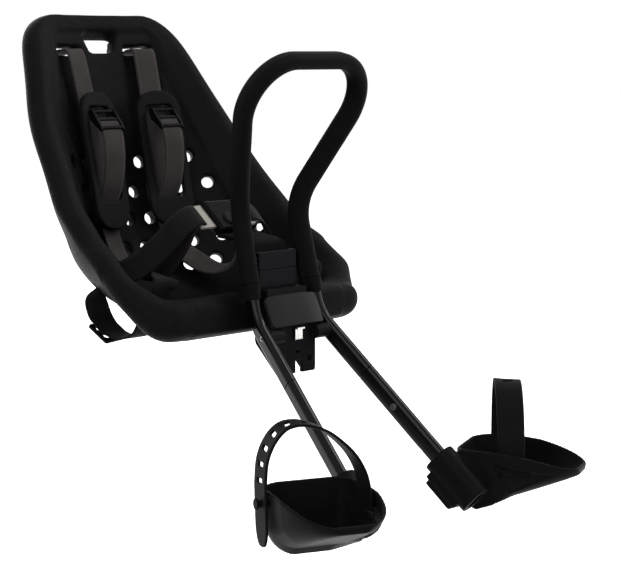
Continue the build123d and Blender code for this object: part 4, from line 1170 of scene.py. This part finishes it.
    def strap(self) -> None:
        """Models the rubber instep strap with its row of holes."""
        strip, total = self.strap_route().band(self.side, self.strap_width, self.strap_step,
                                               self.strap_columns, self.strap_tip)
        uv = strip.loops.layers.uv.active
        holes = [total - self.slot_start - k * self.slot_pitch for k in range(self.slots)]
        gone = []
        for face in strip.faces:
            across, along = sum((loop[uv].uv for loop in face.loops), Vector((0.0, 0.0))) / len(face.loops)
            if abs(across) < self.slot_half and any(abs(along - hole) < self.slot_rise for hole in holes):
                gone.append(face)
        bmesh.ops.delete(strip, geom=gone, context="FACES")
        thicken(stand_in(strip, self.side.node("foot_strap"), "band", SMOOTH), self.rubber, 2)

    def strap_route(self) -> Route:
        """Lays the strap from the inner wall over the instep to the tail outside.

        Returns:
            Its route on the child's left.
        """
        root, hook = (self.heel + self.outward * out + self.toeward * toe
                      for out, toe in (self.strap_root, self.strap_hook))
        points = tuple(tuple(root.lerp(hook, share) + Vector((0.0, 0.0, rise)))
                       for share, rise in self.strap_path)
        return Route(points, (tuple(self.toeward),) * len(points))


@dataclass(frozen=True)
class Lamp:
    """Soft box of the studio.

    Attributes:
        name: Name of the lamp.
        place: Position of the lamp.
        size: Width and height of the box.
        power: Power in watts.
    """

    name: str
    place: Triple
    size: Pair
    power: float

    def build(self, target: Triple) -> None:
        """Adds the lamp.

        Args:
            target: Point that it faces.
        """
        data = bpy.data.lights.new(self.name, "AREA")
        data.shape = "RECTANGLE"
        data.size, data.size_y = self.size
        data.energy = self.power
        lamp = add(self.name, data)
        lamp.location = self.place
        lamp.rotation_euler = (Vector(target) - Vector(self.place)).to_track_quat("-Z", "Y").to_euler()


@dataclass
class Studio:
    """Camera, lamps, floor and backdrop.

    Attributes:
        place: Position of the camera.
        heading: Degrees from +Y towards +X in which it looks.
        pitch: Degrees that it looks down.
        lens: Focal length for a sensor 36 mm wide.
        floor_z: Height of the floor.
        floor_half: Half the width of the floor.
        floor_dim: Grey of the floor that throws light on the seat.
        floor_pale: Grey of the floor that is seen.
        floor_glow: Strength of the white that is seen on the floor.
        ambient: Strength of the even light from all round.
        target: Point that the lamps face.
        lamps: Soft boxes round the seat.
    """

    place: Triple = (-1.2931, -1.2559, 0.3011)
    heading: float = 46.5
    pitch: float = 7.036
    lens: float = 110.145
    floor_z: float = -0.2
    floor_half: float = 6.0
    floor_dim: float = 0.2
    floor_pale: float = 0.9
    floor_glow: float = 0.95
    ambient: float = 0.3
    target: Triple = (0.0, 0.05, 0.1)
    lamps: tuple[Lamp, ...] = (
        Lamp("key", (-1.9, -0.9, 1.0), (1.6, 1.6), 19.0),
        Lamp("side", (1.2, -1.7, 0.9), (1.0, 1.6), 9.0),
        Lamp("top", (0.97, -0.67, 1.74), (0.4, 1.2), 16.0),
        Lamp("strip", (1.9, -0.3, 0.6), (0.12, 1.5), 4.0),
        Lamp("back", (0.6, 2.1, 0.8), (1.8, 1.6), 22.0))

    def build(self) -> None:
        """Sets up the view and the light."""
        scene = bpy.context.scene
        scene.view_settings.view_transform = "Standard"
        data = bpy.data.cameras.new("view")
        data.lens = self.lens
        camera = add("view", data)
        camera.location = self.place
        camera.rotation_euler = (radians(90 - self.pitch), 0.0, radians(-self.heading))
        scene.camera = camera
        for lamp in self.lamps:
            lamp.build(self.target)
        self.backdrop(scene)
        self.floor()

    def backdrop(self, scene: bpy.types.Scene) -> None:
        """Puts white behind the seat and a dim, even light round it.

        Args:
            scene: The scene that gets the backdrop.
        """
        scene.world = bpy.data.worlds.new("backdrop")
        graph = Graph(scene.world)
        light, paper = (graph.node("ShaderNodeBackground", {}, {"Color": WHITE, "Strength": strength})
                        for strength in (self.ambient, 1.0))
        both = graph.node("ShaderNodeMixShader", {}, {0: graph.seen(), 1: light, 2: paper})
        graph.finish(both, "ShaderNodeOutputWorld")

    def floor(self) -> None:
        """Pale floor that keeps a soft shadow and throws little light back."""
        graph = Graph(bpy.data.materials.new("floor"))
        dim, pale = (graph.node("ShaderNodeBsdfDiffuse", {}, {"Color": (grey, grey, grey, 1.0)})
                     for grey in (self.floor_dim, self.floor_pale))
        glow = graph.node("ShaderNodeEmission", {}, {"Color": WHITE, "Strength": self.floor_glow})
        paper = graph.node("ShaderNodeAddShader", {}, {0: pale, 1: glow})
        graph.finish(graph.node("ShaderNodeMixShader", {}, {0: graph.seen(), 1: dim, 2: paper}))
        shape = bmesh.new()
        bmesh.ops.create_grid(shape, x_segments=1, y_segments=1, size=self.floor_half,
                              matrix=Matrix.Translation((0.0, 0.0, self.floor_z)))
        plane = add("floor", shape)
        plane.data.materials.append(graph.owner)


def dress_solids() -> None:
    """Gives every solid the finish of its slot."""
    for node, solid in frame["nodes"].items():
        solid.data.materials.clear()
        solid.data.materials.append(FINISHES[SLOTS[node]].material())


def main() -> None:
    """Builds the studio and the sub-assemblies in order."""
    logging.basicConfig(level=logging.INFO, format="%(name)s %(message)s")
    Studio().build()
    dress_solids()
    Bucket().build()
    Handle().build()
    StemBlock().build()
    Harness().build()
    for side in Side:
        Footrest(side).build()


if __name__ == "__main__":
    main()
